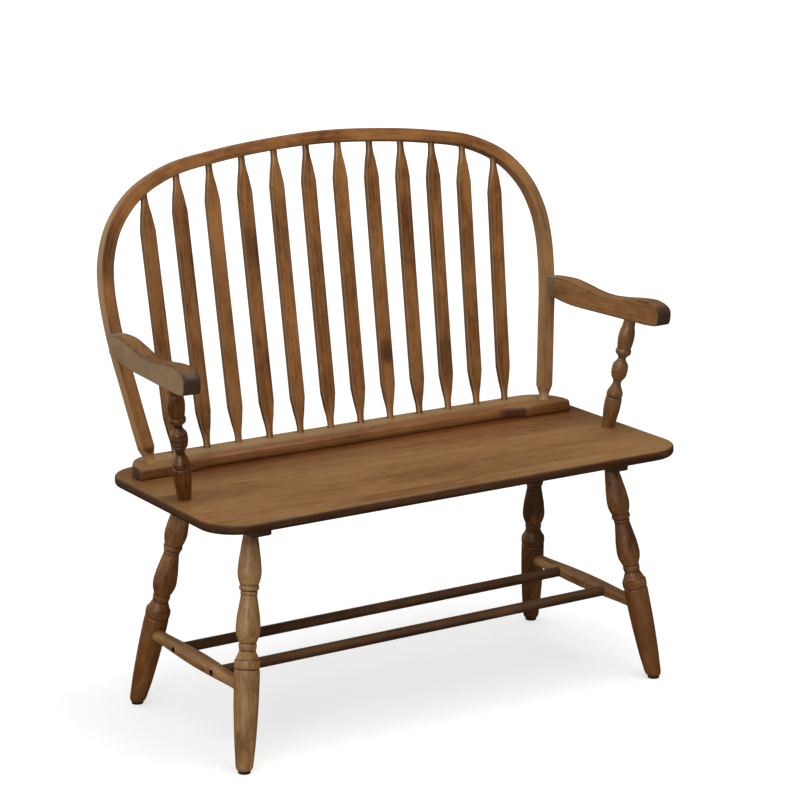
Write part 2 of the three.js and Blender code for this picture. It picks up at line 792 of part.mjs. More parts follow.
// The two rods, each with a screw place at both ends
function rodPlaces() {
  const middle = stretcherEnds(1)[0].clone().lerp(stretcherEnds(1)[1], middleShare);
  return [['front', -1], ['back', 1]].map(([name, end]) => {
    const y = middle.y + end * rodSpread;
    const faceX = middle.x - stretcherRadius;
    const screws = {};
    for (const side of [-1, 1]) {
      const outside = at(side * (middle.x + stretcherRadius - rodScrew.sink), y, stretcherHeight);
      screws[side] = { head: outside, towards: at(0, y, stretcherHeight) };
    }
    return { name, y, faceX, screws };
  });
}

function rodEnd(rod, side, depth) {
  return at(side * (rod.faceX + depth), rod.y, stretcherHeight);
}

function rodSocket(rod, side) {
  const bottom = rodEnd(rod, side, rodTenonDepth + fitGap);
  return bar(rodEnd(rod, side, -stretcherRadius), bottom, rodRadius + fitGap, rodSides);
}

function longStretcher(rod) {
  const body = bar(rodEnd(rod, -1, rodTenonDepth), rodEnd(rod, 1, rodTenonDepth), rodRadius, rodSides);
  return cut(body, [-1, 1].map((side) => screwHole(rod.screws[side], rodScrew)));
}

function cleat(side) {
  const outer = cleatInnerX + cleatWidth;
  const [left, right] = side > 0 ? [cleatInnerX, outer] : [-outer, -cleatInnerX];
  const shape = new THREE.Shape();
  shape.moveTo(left, cleatFrontY);
  shape.lineTo(right, cleatFrontY);
  shape.lineTo(right, cleatBackY);
  shape.lineTo(left, cleatBackY);
  const bottom = seatBottom - cleatThickness - fitGap;
  const body = plank(shape, bottom, cleatThickness, cleatEdgeRound, 1);
  const legHoles = legPlaces().filter((place) => place.side === side).map((place) => legSocket(place));
  const screws = cleatScrewPlaces().filter((place) => place.side === side);
  const screwHoles = screws.flatMap((place) => [
    screwHole(place, cleatScrew), screwMouth(place, cleatScrew),
  ]);
  return cut(body, [...legHoles, ...screwHoles]);
}

// A screw place has the point under the head and a point the screw is aimed towards.
function cleatScrewPlaces() {
  const bottom = seatBottom - cleatThickness - fitGap + cleatScrew.sink;
  const front = cleatFrontY + cleatScrewInset;
  const back = cleatBackY - cleatScrewInset;
  const places = [];
  for (const [side, sideName] of sideNames) {
    for (const [end, y] of [['front', front], ['back', back]]) {
      places.push({
        name: `${sideName}_${end}`,
        side,
        head: at(side * legTopX, y, bottom),
        towards: at(side * legTopX, y, seatTop),
      });
    }
  }
  return places;
}

function railScrewPoints() {
  const y = railBackY - railScrewSetback;
  return railScrewShares.map((share, i) => ({
    name: `${i + 1}`,
    head: at(share * spindlePitchLow, y, seatBottom + railScrew.sink),
    towards: at(share * spindlePitchLow, y, railTop),
  }));
}

// Screw through the bow into the end grain of an arm
function armScrewPlace(side) {
  const tip = armTip(side);
  const back = armBack(side);
  const middleRise = armRise * armScrewRiseShare;
  const along = tip.clone().sub(back).normalize();
  const start = back.clone().add(at(0, 0, middleRise)).addScaledVector(along, -(bowDepth - armScrew.sink));
  return { head: start, towards: start.clone().add(along.multiplyScalar(armScrew.length)) };
}

function armScrewHole(side) {
  const place = armScrewPlace(side);
  return joined(screwHole(place, armScrew), screwMouth(place, armScrew));
}

// Rows of a screw's head and shank, grown by a clearance
function screwRows(screw, gap) {
  const head = screwHeadRadius + gap;
  const shank = screwShankRadius + gap;
  const step = screwHeadHeight + gap;
  return [[head, -gap], [head, step], [shank, step], [shank, screw.length + gap]];
}

function screwHole(place, screw) {
  return aimed(turned(screwRows(screw, fitGap), screwSides), place.head, place.towards);
}

function screwBody(place, screw) {
  return aimed(turned(screwRows(screw, 0), screwSides), place.head, place.towards);
}

// Open counterbore behind the head
function screwMouth(place, screw) {
  const along = place.towards.clone().sub(place.head).normalize();
  const outside = place.head.clone().addScaledVector(along, -(screw.sink + screw.length));
  return bar(outside, place.head, screwHeadRadius + fitGap, screwSides);
}

const bench = new THREE.Group();
bench.name = 'deacons_bench';

function add(name, geometry, material) {
  const mesh = new THREE.Mesh(geometry, material);
  mesh.name = name;
  bench.add(mesh);
}

add('seat', seat(), materials.seatWood);
add('back_rail', backRail(), materials.seatWood);
add('back_bow', backBow(), materials.backWood);
spindlePlaces().forEach((place, i) => {
  add(`spindle_${String(i + 1).padStart(2, '0')}`, spindle(place), materials.backWood);
});
for (const [side, name] of sideNames) {
  add(`arm_${name}`, arm(side), materials.armWood);
  add(`arm_post_${name}`, armPost(side), materials.armWood);
  add(`arm_screw_${name}`, screwBody(armScrewPlace(side), armScrew), materials.steel);
  add(`side_stretcher_${name}`, sideStretcher(side), materials.legWood);
  add(`cleat_${name}`, cleat(side), materials.darkWood);
}
for (const place of legPlaces()) {
  add(`leg_${place.name}`, leg(place), materials.legWood);
  add(`glide_${place.name}`, glide(place), materials.glide);
}
for (const rod of rodPlaces()) {
  add(`long_stretcher_${rod.name}`, longStretcher(rod), materials.darkWood);
  for (const [side, name] of sideNames) {
    add(`stretcher_screw_${rod.name}_${name}`, screwBody(rod.screws[side], rodScrew), materials.steel);
  }
}
for (const place of cleatScrewPlaces()) {
  add(`cleat_screw_${place.name}`, screwBody(place, cleatScrew), materials.steel);
}
for (const place of railScrewPoints()) {
  add(`rail_screw_${place.name}`, screwBody(place, railScrew), materials.steel);
}

// The origin goes to the middle of the bench's footprint on the floor.
const bounds = new THREE.Box3().setFromObject(bench);
const middle = bounds.getCenter(new THREE.Vector3());
for (const mesh of bench.children) {
  mesh.geometry.translate(-middle.x, -middle.y, -bounds.min.z);
}

export default bench;
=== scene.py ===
import math
import random

import bmesh
import bpy
import numpy as np
from mathutils import Matrix, Vector


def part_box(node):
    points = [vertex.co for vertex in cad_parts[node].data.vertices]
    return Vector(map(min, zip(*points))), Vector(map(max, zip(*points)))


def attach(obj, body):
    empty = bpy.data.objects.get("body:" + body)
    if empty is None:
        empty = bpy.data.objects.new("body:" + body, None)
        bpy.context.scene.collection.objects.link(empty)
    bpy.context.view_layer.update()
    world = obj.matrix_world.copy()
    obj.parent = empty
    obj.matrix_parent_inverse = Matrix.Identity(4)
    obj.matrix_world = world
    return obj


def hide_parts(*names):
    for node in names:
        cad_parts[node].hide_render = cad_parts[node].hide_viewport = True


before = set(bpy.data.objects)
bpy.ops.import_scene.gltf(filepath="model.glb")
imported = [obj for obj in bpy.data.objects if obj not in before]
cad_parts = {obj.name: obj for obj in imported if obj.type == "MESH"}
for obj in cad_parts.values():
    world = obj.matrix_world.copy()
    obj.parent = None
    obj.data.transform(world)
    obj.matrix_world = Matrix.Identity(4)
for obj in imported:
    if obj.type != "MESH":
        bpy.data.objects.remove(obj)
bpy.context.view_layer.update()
print("deacons bench: frame loaded with", len(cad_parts), "parts")

# Shop measures are in millimetres, taken from the middle of the feet at floor level.
# X runs along the bench, -Y is the front, +Z is up. Fades in the stain and in the painted light and
# shade are written as strength, where they start and where they are full; with two numbers the
# strength is 1.
mm = 0.001

seatBoard = {
    "halfWidth": 497, "front": -224, "back": 212, "top": 450, "thickness": 18,
    "frontCorner": 72, "backCorner": 66, "cornerSteps": 22, "round": 7, "topRound": 4.5,
    "roundSteps": 8, "margins": (9, 1.2), "sideRows": 2, "boards": 0.094, "seed": 3,
    # cuts over the flats
    "cutsX": range(-477, 482, 47), "cutsY": range(-208, 204, 13),
    # painted shade on the top near the rail, which keeps only a share of itself at the left end, and a
    # fade darker to the right, partly stain and partly painted shade
    "nearRail": (0.55, -10, 95), "atRail": (0.42, 80, 122), "rightward": (0.1, -100, 450),
    "leftShare": 0.6, "leftEnd": (-470, -330),
    # painted shadow line at the edge's foot, and a dark band on the edge, partly stain and partly
    # painted shade on the side faces, by the height over the underside and the turn from level
    "footLine": (1.0, 4.5, 2), "band": 0.84, "bandFoot": (0.14, 15, 4), "bandTurn": (0.005, 0.3),
    "edgeRange": (0.05, 0.3),
}

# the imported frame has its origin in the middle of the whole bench
shopToFrame = Vector((0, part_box("seat")[1].y - seatBoard["back"] * mm, 0))


def smooth(low, high, values):
    # from 0 at low to 1 at high, for one value or an array
    share = np.clip((values - low) / (high - low), 0.0, 1.0)
    return share * share * (3 - 2 * share)


def mixed(a, b, share):
    return a + (b - a) * share


def faded(values, strength, start, full):
    # nothing at the start, the whole strength where it is full
    return strength * smooth(start, full, values)


# finishes

def stain(red, green, blue):
    # a screen colour, 0 to 255, as the linear colour a shader socket wants
    def linear(value):
        value /= 255
        return value / 12.92 if value <= 0.04045 else ((value + 0.055) / 1.055) ** 2.4
    return (linear(red), linear(green), linear(blue), 1.0)


def wire(tree, kind, settings=None, inputs=None):
    made = tree.nodes.new(kind)
    for key, value in (settings or {}).items():
        setattr(made, key, value)
    for key, value in (inputs or {}).items():
        socket = made.inputs[key]
        if isinstance(value, bpy.types.NodeSocket):
            tree.links.new(value, socket)
        else:
            socket.default_value = value
    return made


def maths(tree, operation, *values):
    made = wire(tree, "ShaderNodeMath", {"operation": operation}, dict(enumerate(values)))
    return made.outputs[0]


def blendColour(tree, blendType, amount, first, second):
    made = wire(tree, "ShaderNodeMix", {"data_type": "RGBA", "blend_type": blendType},
                {0: amount, 6: first, 7: second})
    return made.outputs[2]


def ranged(tree, value, fromLow, fromHigh, toLow, toHigh):
    made = wire(tree, "ShaderNodeMapRange", {"interpolation_type": "SMOOTHSTEP"},
                {0: value, 1: fromLow, 2: fromHigh, 3: toLow, 4: toHigh})
    return made.outputs[0]


def vectorMaths(tree, operation, first, second):
    made = wire(tree, "ShaderNodeVectorMath", {"operation": operation}, {0: first, 1: second})
    return made.outputs["Value" if operation == "DOT_PRODUCT" else "Vector"]


def marked(tree, name):
    return wire(tree, "ShaderNodeAttribute", {"attribute_name": name}).outputs["Fac"]


def stretched(tree, vector, stretch):
    # a small stretch draws a pattern out along the grain
    made = wire(tree, "ShaderNodeMapping", None, {"Vector": vector, "Scale": (1, 1, stretch)})
    return made.outputs[0]


def cloud(tree, vector, look, kind):
    # soft noise of one kind, by its scale, its detail and roughness, and its stretch if it has one
    if kind + "Stretch" in look:
        vector = stretched(tree, vector, look[kind + "Stretch"])
    detail, roughness = look[kind + "Noise"]
    made = wire(tree, "ShaderNodeTexNoise", None, {"Vector": vector, "Scale": look[kind + "Scale"],
                                                   "Detail": detail, "Roughness": roughness})
    return made.outputs[0]


def newTree(name):
    material = bpy.data.materials.new(name)
    material.use_nodes = True
    material.node_tree.nodes.clear()
    return material, material.node_tree


def closeTree(tree, shader):
    wire(tree, "ShaderNodeOutputMaterial", None, {"Surface": shader})


def grainPlaces(tree, look):
    # where each point lies in the wood, and how light its board is
    if look.get("along") == "Y":   # parts kept from the frame carry no grain marks of their own
        place = wire(tree, "ShaderNodeTexCoord").outputs["Object"]
        split = wire(tree, "ShaderNodeSeparateXYZ", None, {0: place})
        place = wire(tree, "ShaderNodeCombineXYZ", None,
                     {0: split.outputs[0], 1: split.outputs[2], 2: split.outputs[1]}).outputs[0]
    else:
        place = wire(tree, "ShaderNodeAttribute", {"attribute_name": "grainPlace"}).outputs["Vector"]
    tone = marked(tree, "tone")
    if look.get("boards"):   # glued-up boards: each has its own run of grain and its own tone
        split = wire(tree, "ShaderNodeSeparateXYZ", None, {0: place})
        number = maths(tree, "FLOOR", maths(tree, "DIVIDE", split.outputs[0], look["boards"]))
        chance = wire(tree, "ShaderNodeTexWhiteNoise", {"noise_dimensions": "1D"}, {"W": number})
        jump = wire(tree, "ShaderNodeVectorMath", {"operation": "SCALE"},
                    {0: chance.outputs["Color"], "Scale": look["boardJump"]})
        place = vectorMaths(tree, "ADD", place, jump.outputs[0])
        own = maths(tree, "SUBTRACT", chance.outputs["Value"], 0.5)
        tone = maths(tree, "MULTIPLY_ADD", own, look["boardTone"], tone)
    return place, tone


def wandering(tree, place, look):
    # the grain wanders a little, so it never looks ruled
    noise = wire(tree, "ShaderNodeTexNoise", None,
                 {"Vector": stretched(tree, place, look["wanderStretch"]), "Scale": look["wanderScale"],
                  "Detail": look["wanderDetail"]})
    centred = vectorMaths(tree, "SUBTRACT", noise.outputs["Color"], (0.5, 0.5, 0.5))
    bentBy = vectorMaths(tree, "MULTIPLY", centred, (look["wander"], look["wander"], 0))
    return vectorMaths(tree, "ADD", place, bentBy)


def stainColour(tree, look, value):
    # from the darkest to the lightest of three stains
    ramp = wire(tree, "ShaderNodeValToRGB", None, {0: value})
    stops = ramp.color_ramp.elements
    darkAt, middleAt, lightAt = look["stainAt"]
    stops[0].position, stops[0].color = darkAt, stain(*look["dark"])
    stops[1].position, stops[1].color = lightAt, stain(*look["light"])
    middle = stops.new(middleAt)
    middle.color = stain(*look["middle"])
    return ramp.outputs[0]


def woodFinish(name, look):
    material, tree = newTree(name)
    place, tone = grainPlaces(tree, look)
    grain = wandering(tree, place, look)
    rings = wire(tree, "ShaderNodeTexWave",
                 {"wave_type": "RINGS", "rings_direction": "Z", "wave_profile": "SIN"},
                 dict(look["ringWave"], Vector=stretched(tree, grain, look["ringStretch"]),
                      Scale=look["ringScale"])).outputs[1]
    streak = cloud(tree, grain, look, "streak")
    pore = ranged(tree, cloud(tree, grain, look, "pore"), *look["poreRange"], 0, 1)
    blotch = cloud(tree, place, look, "blotch")
    mottle = cloud(tree, place, look, "mottle")
    value = 0.5
    for figure, amount in ((streak, "streak"), (rings, "rings"), (blotch, "blotch"),
                           (mottle, "mottle")):
        value = maths(tree, "MULTIPLY_ADD", maths(tree, "SUBTRACT", figure, 0.5), look[amount], value)
    colour = stainColour(tree, look, maths(tree, "ADD", value, tone))

    def tinted(amount, kind, colour, blendType="MIX"):
        return blendColour(tree, blendType, amount, colour, stain(*look[kind + "Colour"]))

    colour = tinted(maths(tree, "MULTIPLY", pore, look["pore"]), "pore", colour, "MULTIPLY")
    # grey-green cast of the glaze over some patches
    cast = ranged(tree, cloud(tree, place, look, "cast"), *look["castRange"], 0, look["cast"])
    colour = tinted(cast, "cast", colour)
    # painted shade: the grooves, found by the sunk mark, are darkened
    colour = tinted(maths(tree, "MULTIPLY", marked(tree, "sunk"), look["sunk"]), "sunk", colour,
                    "MULTIPLY")
    rubbed = marked(tree, "rubbed")
    patchy = ranged(tree, cloud(tree, place, look, "patch"), *look["patchRange"], look["patchLeast"], 1)
    worn = maths(tree, "MULTIPLY", maths(tree, "MULTIPLY", rubbed, patchy), look["edge"])
    colour = tinted(worn, "edge", colour)
    endGrain = ranged(tree, marked(tree, "endGrain"), look["endFrom"],
                      look["endFrom"] + look["endFade"], 0, 1)
    arcs = blendColour(tree, "MIX", ranged(tree, rings, *look["endRingRange"], 0, look["endRings"]),
                       stain(*look["endColour"]), stain(*look["endPale"]))
    colour = blendColour(tree, "MIX", maths(tree, "MULTIPLY", endGrain, look["end"]), colour, arcs)
    # the darker mark holds stain patches and painted shade; the wash holds wear, tone and painted light
    # and shade
    colour = tinted(marked(tree, "darker"), "darker", colour, "MULTIPLY")
    wash = maths(tree, "MULTIPLY", marked(tree, "wash"), ranged(tree, streak, *look["washStreaks"]))
    colour = tinted(wash, "wash", colour)
    dull = maths(tree, "MULTIPLY_ADD", endGrain, look["endDull"], streak)
    dull = ranged(tree, dull, *look["dullRange"], *look["roughness"])
    dull = maths(tree, "MULTIPLY_ADD", rubbed, look["edgeDull"], dull)
    height = maths(tree, "MULTIPLY_ADD", rings, look["ringHeight"],
                   maths(tree, "MULTIPLY", streak, look["streakHeight"]))
    height = maths(tree, "MULTIPLY_ADD", pore, -look["poreDepth"], height)
    bump = wire(tree, "ShaderNodeBump", None,
                {"Strength": look["bump"], "Distance": look["bumpDepth"], "Height": height})
    shader = wire(tree, "ShaderNodeBsdfPrincipled", None,
                  {"Base Color": colour, "Roughness": dull, "Normal": bump.outputs[0],
                   "Specular IOR Level": look["specular"], "Coat Weight": look["coat"],
                   "Coat Roughness": look["coatRoughness"]})
    closeTree(tree, shader.outputs[0])
    return material


plainGrain = {
    # scale, detail and roughness, and stretch of each noise in the figure
    "wanderScale": 11, "wanderDetail": 2, "wanderStretch": 0.3,
    "streakScale": 150, "streakNoise": (6, 0.65), "streakStretch": 0.035,
    "poreScale": 900, "poreNoise": (2, 0.5), "poreStretch": 0.07,
    "blotchScale": 15, "blotchNoise": (3, 0.55), "blotchStretch": 0.5,
    "mottleScale": 75, "mottleNoise": (4, 0.6), "mottleStretch": 0.45,
    "castScale": 9, "castNoise": (2, 0.5), "castStretch": 0.35,
    "patchScale": 60, "patchNoise": (3, 0.6),
    "ringScale": 60, "ringStretch": 0.05,
    "ringWave": {"Distortion": 9, "Detail": 3, "Detail Scale": 0.3, "Detail Roughness": 0.6},
    # how much each of them moves the stain
    "wander": 0.014, "streak": 0.4, "rings": 0.1, "blotch": 0.9, "mottle": 0.35,
    "stainAt": (0.2, 0.5, 0.8),
    "pore": 0.16, "poreRange": (0.56, 0.68), "poreColour": (120, 84, 52),
    "cast": 0.15, "castRange": (0.5, 0.72), "castColour": (104, 82, 50),
    # painted shade in the grooves, rubbed edges and end grain
    "sunk": 0.55, "sunkColour": (96, 66, 44),
    "edge": 0.35, "edgeColour": (84, 54, 30), "edgeDull": 0.1, "patchRange": (0.35, 0.65),
    "patchLeast": 0.45,
    "end": 0.75, "endFrom": 0.45, "endFade": 0.4, "endColour": (78, 52, 36), "endPale": (112, 82, 56),
    "endRings": 0.5, "endRingRange": (0.3, 0.7), "endDull": 0.25,
    # stretches marked one by one for each piece: darker, which holds stain patches and painted shade,
    # and a wash, which holds wear, tone and painted light and shade, that the streaks break up
    "darkerColour": (104, 74, 52), "washColour": (170, 130, 82), "washStreaks": (0.35, 0.6, 0.8, 1.05),
    "roughness": (0.34, 0.5), "dullRange": (0.35, 0.8), "coat": 0.0, "coatRoughness": 0.28,
    "specular": 0.4,
    "bump": 0.35, "bumpDepth": 0.0004, "ringHeight": 0.25, "streakHeight": 0.5, "poreDepth": 0.7,
}
seatLook = dict(plainGrain, dark=(104, 66, 32), middle=(141, 101, 59), light=(160, 120, 76),
                boards=seatBoard["boards"], boardTone=0.02, boardJump=2.0, blotchScale=9,
                blotchStretch=0.3, streakScale=110, streak=0.5, mottle=0.45, pore=0.28, poreScale=520,
                poreStretch=0.06, bump=0.12, castColour=(124, 100, 64),
                darkerColour=(181, 140, 97), washColour=(53, 24, 6), roughness=(0.36, 0.48),
                specular=0.35)
railLook = dict(plainGrain, dark=(86, 46, 14), middle=(128, 80, 36), light=(154, 106, 56),
                edgeColour=(160, 120, 76), edge=0.25, darkerColour=(112, 64, 36), pore=0.25,
                washColour=(172, 148, 108), specular=0.4)
backLook = dict(plainGrain, dark=(88, 46, 12), middle=(142, 92, 44), light=(164, 113, 60),
                poreScale=480, poreStretch=0.13, pore=0.32, mottle=0.5, edgeColour=(44, 26, 12),
                edge=0.6, edgeDull=0.2, darkerColour=(96, 66, 48), washColour=(180, 143, 96),
                specular=0.5, coat=0.2)
armLook = dict(plainGrain, dark=(92, 58, 32), middle=(145, 101, 58), light=(168, 125, 78),
               streakScale=110, streak=0.28, mottle=0.55, poreScale=620, poreStretch=0.2, pore=0.2,
               cast=0.35, castColour=(124, 102, 72), edge=0.9, edgeColour=(46, 30, 18),
               edgeDull=0.4, end=0.92, endFrom=0.25, endColour=(54, 36, 26), endPale=(84, 60, 44),
               endRings=0.25, darkerColour=(104, 76, 54), washColour=(134, 122, 104),
               roughness=(0.36, 0.5), specular=0.35)
postLook = dict(plainGrain, dark=(56, 26, 4), middle=(102, 56, 18), light=(146, 94, 46),
                streakScale=300, streak=0.75, sunk=0.95, sunkColour=(62, 38, 22), edge=0.3,
                edgeColour=(156, 116, 78), washColour=(122, 94, 60), roughness=(0.26, 0.4),
                coat=0.3, specular=0.5)
legLook = dict(plainGrain, dark=(66, 36, 8), middle=(122, 76, 32), light=(162, 122, 74),
               streakScale=420, streak=0.5, rings=0.06, blotchScale=22, mottle=0.55, poreScale=520,
               poreStretch=0.12, pore=0.45, cast=0.3, castColour=(118, 98, 60), sunk=0.95,
               sunkColour=(60, 37, 22), edge=0.25, edgeColour=(156, 120, 78),
               washColour=(108, 58, 4), coat=0.15, specular=0.5, bump=0.5)
stretcherLook = dict(legLook, dark=(88, 50, 22), middle=(142, 96, 54), light=(176, 132, 84),
                     streakScale=260, darkerColour=(24, 16, 10))
rodLook = dict(plainGrain, dark=(64, 37, 19), middle=(98, 64, 38), light=(126, 88, 56),
               washColour=(136, 102, 70))
cleatLook = dict(plainGrain, dark=(52, 30, 14), middle=(76, 48, 26), light=(104, 70, 42), along="Y")

seatFinish = woodFinish("seatStain", seatLook)
railFinish = woodFinish("railStain", railLook)
backFinish = woodFinish("bowAndSpindleStain", backLook)
armFinish = woodFinish("armStain", armLook)
postFinish = woodFinish("armPostStain", postLook)
legFinish = woodFinish("legStain", legLook)
stretcherFinish = woodFinish("sideStretcherStain", stretcherLook)
rodFinish = woodFinish("rodStain", rodLook)
cleatFinish = woodFinish("cleatStain", cleatLook)


def plainFinish(name, look):
    material, tree = newTree(name)
    place = wire(tree, "ShaderNodeTexCoord").outputs["Object"]
    speckle = cloud(tree, place, look, "speckle")
    scuff = cloud(tree, place, look, "scuff")
    colour = blendColour(tree, "MIX", ranged(tree, speckle, *look["speckleRange"], 0, 1),
                         stain(*look["dark"]), stain(*look["light"]))
    colour = blendColour(tree, "MIX", ranged(tree, scuff, *look["scuffRange"], 0, look["scuff"]),
                         colour, stain(*look["scuffColour"]))
    bump = wire(tree, "ShaderNodeBump", None,
                {"Strength": look["bump"], "Distance": look["bumpDepth"], "Height": speckle})
    dull = ranged(tree, scuff, *look["dullRange"], *look["roughness"])
    shader = wire(tree, "ShaderNodeBsdfPrincipled", None,
                  {"Base Color": colour, "Roughness": dull, "Metallic": look["metallic"],
                   "Normal": bump.outputs[0]})
    closeTree(tree, shader.outputs[0])
    return material


plainSpeckle = {
    "speckleScale": 900, "speckleNoise": (4, 0.6), "speckleRange": (0.35, 0.7),
    "scuffScale": 160, "scuffNoise": (3, 0.55), "scuffRange": (0.55, 0.75), "dullRange": (0.3, 0.7),
    "bump": 0.3, "bumpDepth": 0.0001,
}
glideLook = dict(plainSpeckle, dark=(20, 20, 21), light=(34, 33, 33), scuff=0.35,
                 scuffColour=(62, 58, 54), roughness=(0.4, 0.65), metallic=0.0)
screwLook = dict(plainSpeckle, dark=(24, 22, 21), light=(52, 48, 44), speckleScale=700,
                 scuffScale=300, scuff=0.4, scuffColour=(88, 82, 74), roughness=(0.35, 0.6),
                 bumpDepth=0.00005, metallic=1.0)
glideFinish = plainFinish("blackGlide", glideLook)
screwFinish = plainFinish("darkScrewSteel", screwLook)
print("finishes mixed")


# mesh work

def placed(name, data):
    thing = bpy.data.objects.new(name, data)
    bpy.context.scene.collection.objects.link(thing)
    return thing


def opened(mesh):
    tool = bmesh.new()
    tool.from_mesh(mesh)
    return tool


def closed(tool, mesh):
    tool.to_mesh(mesh)
    tool.free()
    mesh.update()


def meshFrom(name, verts, faces):
    mesh = bpy.data.meshes.new(name)
    mesh.from_pydata([tuple(v) for v in verts], [], faces)
    mesh.update()
    return mesh


def skinned(name, rings):
    # skin over rows of points, closed at both ends
    count = len(rings[0])
    faces = []
    for row in range(len(rings) - 1):
        for i in range(count):
            a = row * count + i
            b = row * count + (i + 1) % count
            faces.append((a, b, b + count, a + count))
    last = (len(rings) - 1) * count
    faces.append(tuple(reversed(range(count))))
    faces.append(tuple(range(last, last + count)))
    return meshFrom(name, [point for ring in rings for point in ring], faces)


def meshArrays(mesh):
    count = len(mesh.vertices)
    places = np.empty(count * 3)
    normals = np.empty(count * 3)
    pairs = np.empty(len(mesh.edges) * 2, dtype=np.int64)
    mesh.vertices.foreach_get("co", places)
    mesh.vertex_normals.foreach_get("vector", normals)
    mesh.edges.foreach_get("vertices", pairs)
    return places.reshape(-1, 3), normals.reshape(-1, 3), pairs.reshape(-1, 2)


def surfaceBend(places, normals, pairs):
    # the tightest outward and inward curve at each point, as 1 / radius in mm
    first, second = pairs[:, 0], pairs[:, 1]
    span = places[first] - places[second]
    reach = np.maximum((span ** 2).sum(1), 1e-6)
    outward = np.zeros(len(places))
    inward = np.zeros(len(places))
    for end, sign, normal in ((first, 2, normals[first]), (second, -2, normals[second])):
        bend = sign * (normal * span).sum(1) / reach
        np.maximum.at(outward, end, bend)
        np.minimum.at(inward, end, bend)
    return outward, -inward


def evened(values, pairs):
    # each point takes half of its neighbours' mean
    total = np.zeros(len(values))
    number = np.zeros(len(values))
    for end, other in ((pairs[:, 0], pairs[:, 1]), (pairs[:, 1], pairs[:, 0])):
        np.add.at(total, end, values[other])
        np.add.at(number, end, 1)
    return (values + total / np.maximum(number, 1)) / 2


def mark(mesh, name, values, kind="FLOAT"):
    layer = mesh.attributes.new(name, kind, "POINT")
    field = "vector" if kind == "FLOAT_VECTOR" else "value"
    layer.data.foreach_set(field, np.asarray(values, dtype=np.float32).ravel())


def squareTo(facing, along):
    # two directions square to facing; along is the way the whole piece runs
    side = Vector((0, 0, 1)) if abs(along.z) < 0.7 else Vector((0, -1, 0))
    across = side.cross(facing).normalized()
    return across, facing.cross(across)


def grainFrame(low, high):
    # turns shop places into places along the grain, which runs from low to high
    along = (high - low).normalized()
    across, deep = squareTo(along, along)
    turn = Matrix((across, deep, along)).to_4x4()
    return turn @ Matrix.Translation(-low)


def allOver(amount):
    return lambda places, normals: np.full(len(places), amount)


# how a piece is marked unless its own dictionary says otherwise: the bends, as 1 / radius in mm,
# over which an edge comes to count as rubbed and a groove as sunk
plainMarks = {"edgeRange": (0.12, 0.4), "grooveRange": (0.05, 0.3), "creaseDegrees": 32}


def fitPiece(name, mesh, nodes, finish, grain, look, seed, tone=0.0,
             darker=allOver(0.0), wash=allOver(0.0)):
    # shades, marks, finishes and seats one piece; grain is a matrix or one place for each point
    look = {**plainMarks, **look}
    tool = opened(mesh)
    bmesh.ops.recalc_face_normals(tool, faces=tool.faces)
    closed(tool, mesh)
    places, normals, pairs = meshArrays(mesh)
    outward, inward = surfaceBend(places, normals, pairs)
    mark(mesh, "rubbed", evened(smooth(*look["edgeRange"], outward), pairs))
    mark(mesh, "sunk", evened(smooth(*look["grooveRange"], inward), pairs))
    chance = random.Random(seed)
    away = np.array([chance.uniform(0.2, 0.9), chance.uniform(0.2, 0.9), chance.uniform(-3, 3)])
    if isinstance(grain, Matrix):
        turn = np.array(grain)
        local = places @ turn[:3, :3].T + turn[:3, 3]
        ends = np.abs(normals @ turn[2, :3])
    else:
        local = np.array(grain)
        ends = np.zeros(len(places))
    mark(mesh, "grainPlace", local * mm + away, "FLOAT_VECTOR")
    mark(mesh, "endGrain", ends)
    mark(mesh, "tone", np.full(len(places), tone))
    mark(mesh, "darker", darker(places, normals))
    mark(mesh, "wash", wash(places, normals))
    mesh.transform(Matrix.Translation(shopToFrame) @ Matrix.Scale(mm, 4))
    mesh.shade_smooth()
    mesh.set_sharp_from_angle(angle=math.radians(look["creaseDegrees"]))
    mesh.materials.append(finish)
    piece = placed(name, mesh)
    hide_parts(*nodes)
    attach(piece, "root")
    return piece


def arc(centreX, centreY, radius, startDegrees, endDegrees, steps):
    points = []
    for i in range(steps + 1):
        angle = math.radians(mixed(startDegrees, endDegrees, i / steps))
        points.append((centreX + radius * math.cos(angle), centreY + radius * math.sin(angle)))
    return points


def pulledCurve(start, pullA, pullB, end, steps):
    # leaves the start towards one pull and meets the end from the other
    points = []
    for i in range(1, steps):
        t = i / steps
        weights = ((1 - t) ** 3, 3 * t * (1 - t) ** 2, 3 * t * t * (1 - t), t ** 3)
        points.append(tuple(sum(w * p[k] for w, p in zip(weights, (start, pullA, pullB, end)))
                            for k in (0, 1)))
    return points


def drawnIn(outline, inset):
    # the outline moved inwards; it runs counter-clockwise
    moved = []
    count = len(outline)
    for i, point in enumerate(outline):
        before = Vector(outline[i - 1])
        after = Vector(outline[(i + 1) % count])
        here = Vector(point)
        lead, trail = (here - before).normalized(), (after - here).normalized()
        along = (lead + trail).normalized()
        stretch = 1 / max(along.dot(lead), 0.5)
        moved.append(here + Vector((-along.y, along.x)) * inset * stretch)
    return moved


def edgeRows(rounding, steps):
    # (inset, height) over a rounded edge, from the flat to the side
    rows = []
    for i in range(steps + 1):
        angle = math.radians(90 * i / steps)
        rows.append((rounding * (1 - math.sin(angle)), rounding * (1 - math.cos(angle))))
    return rows


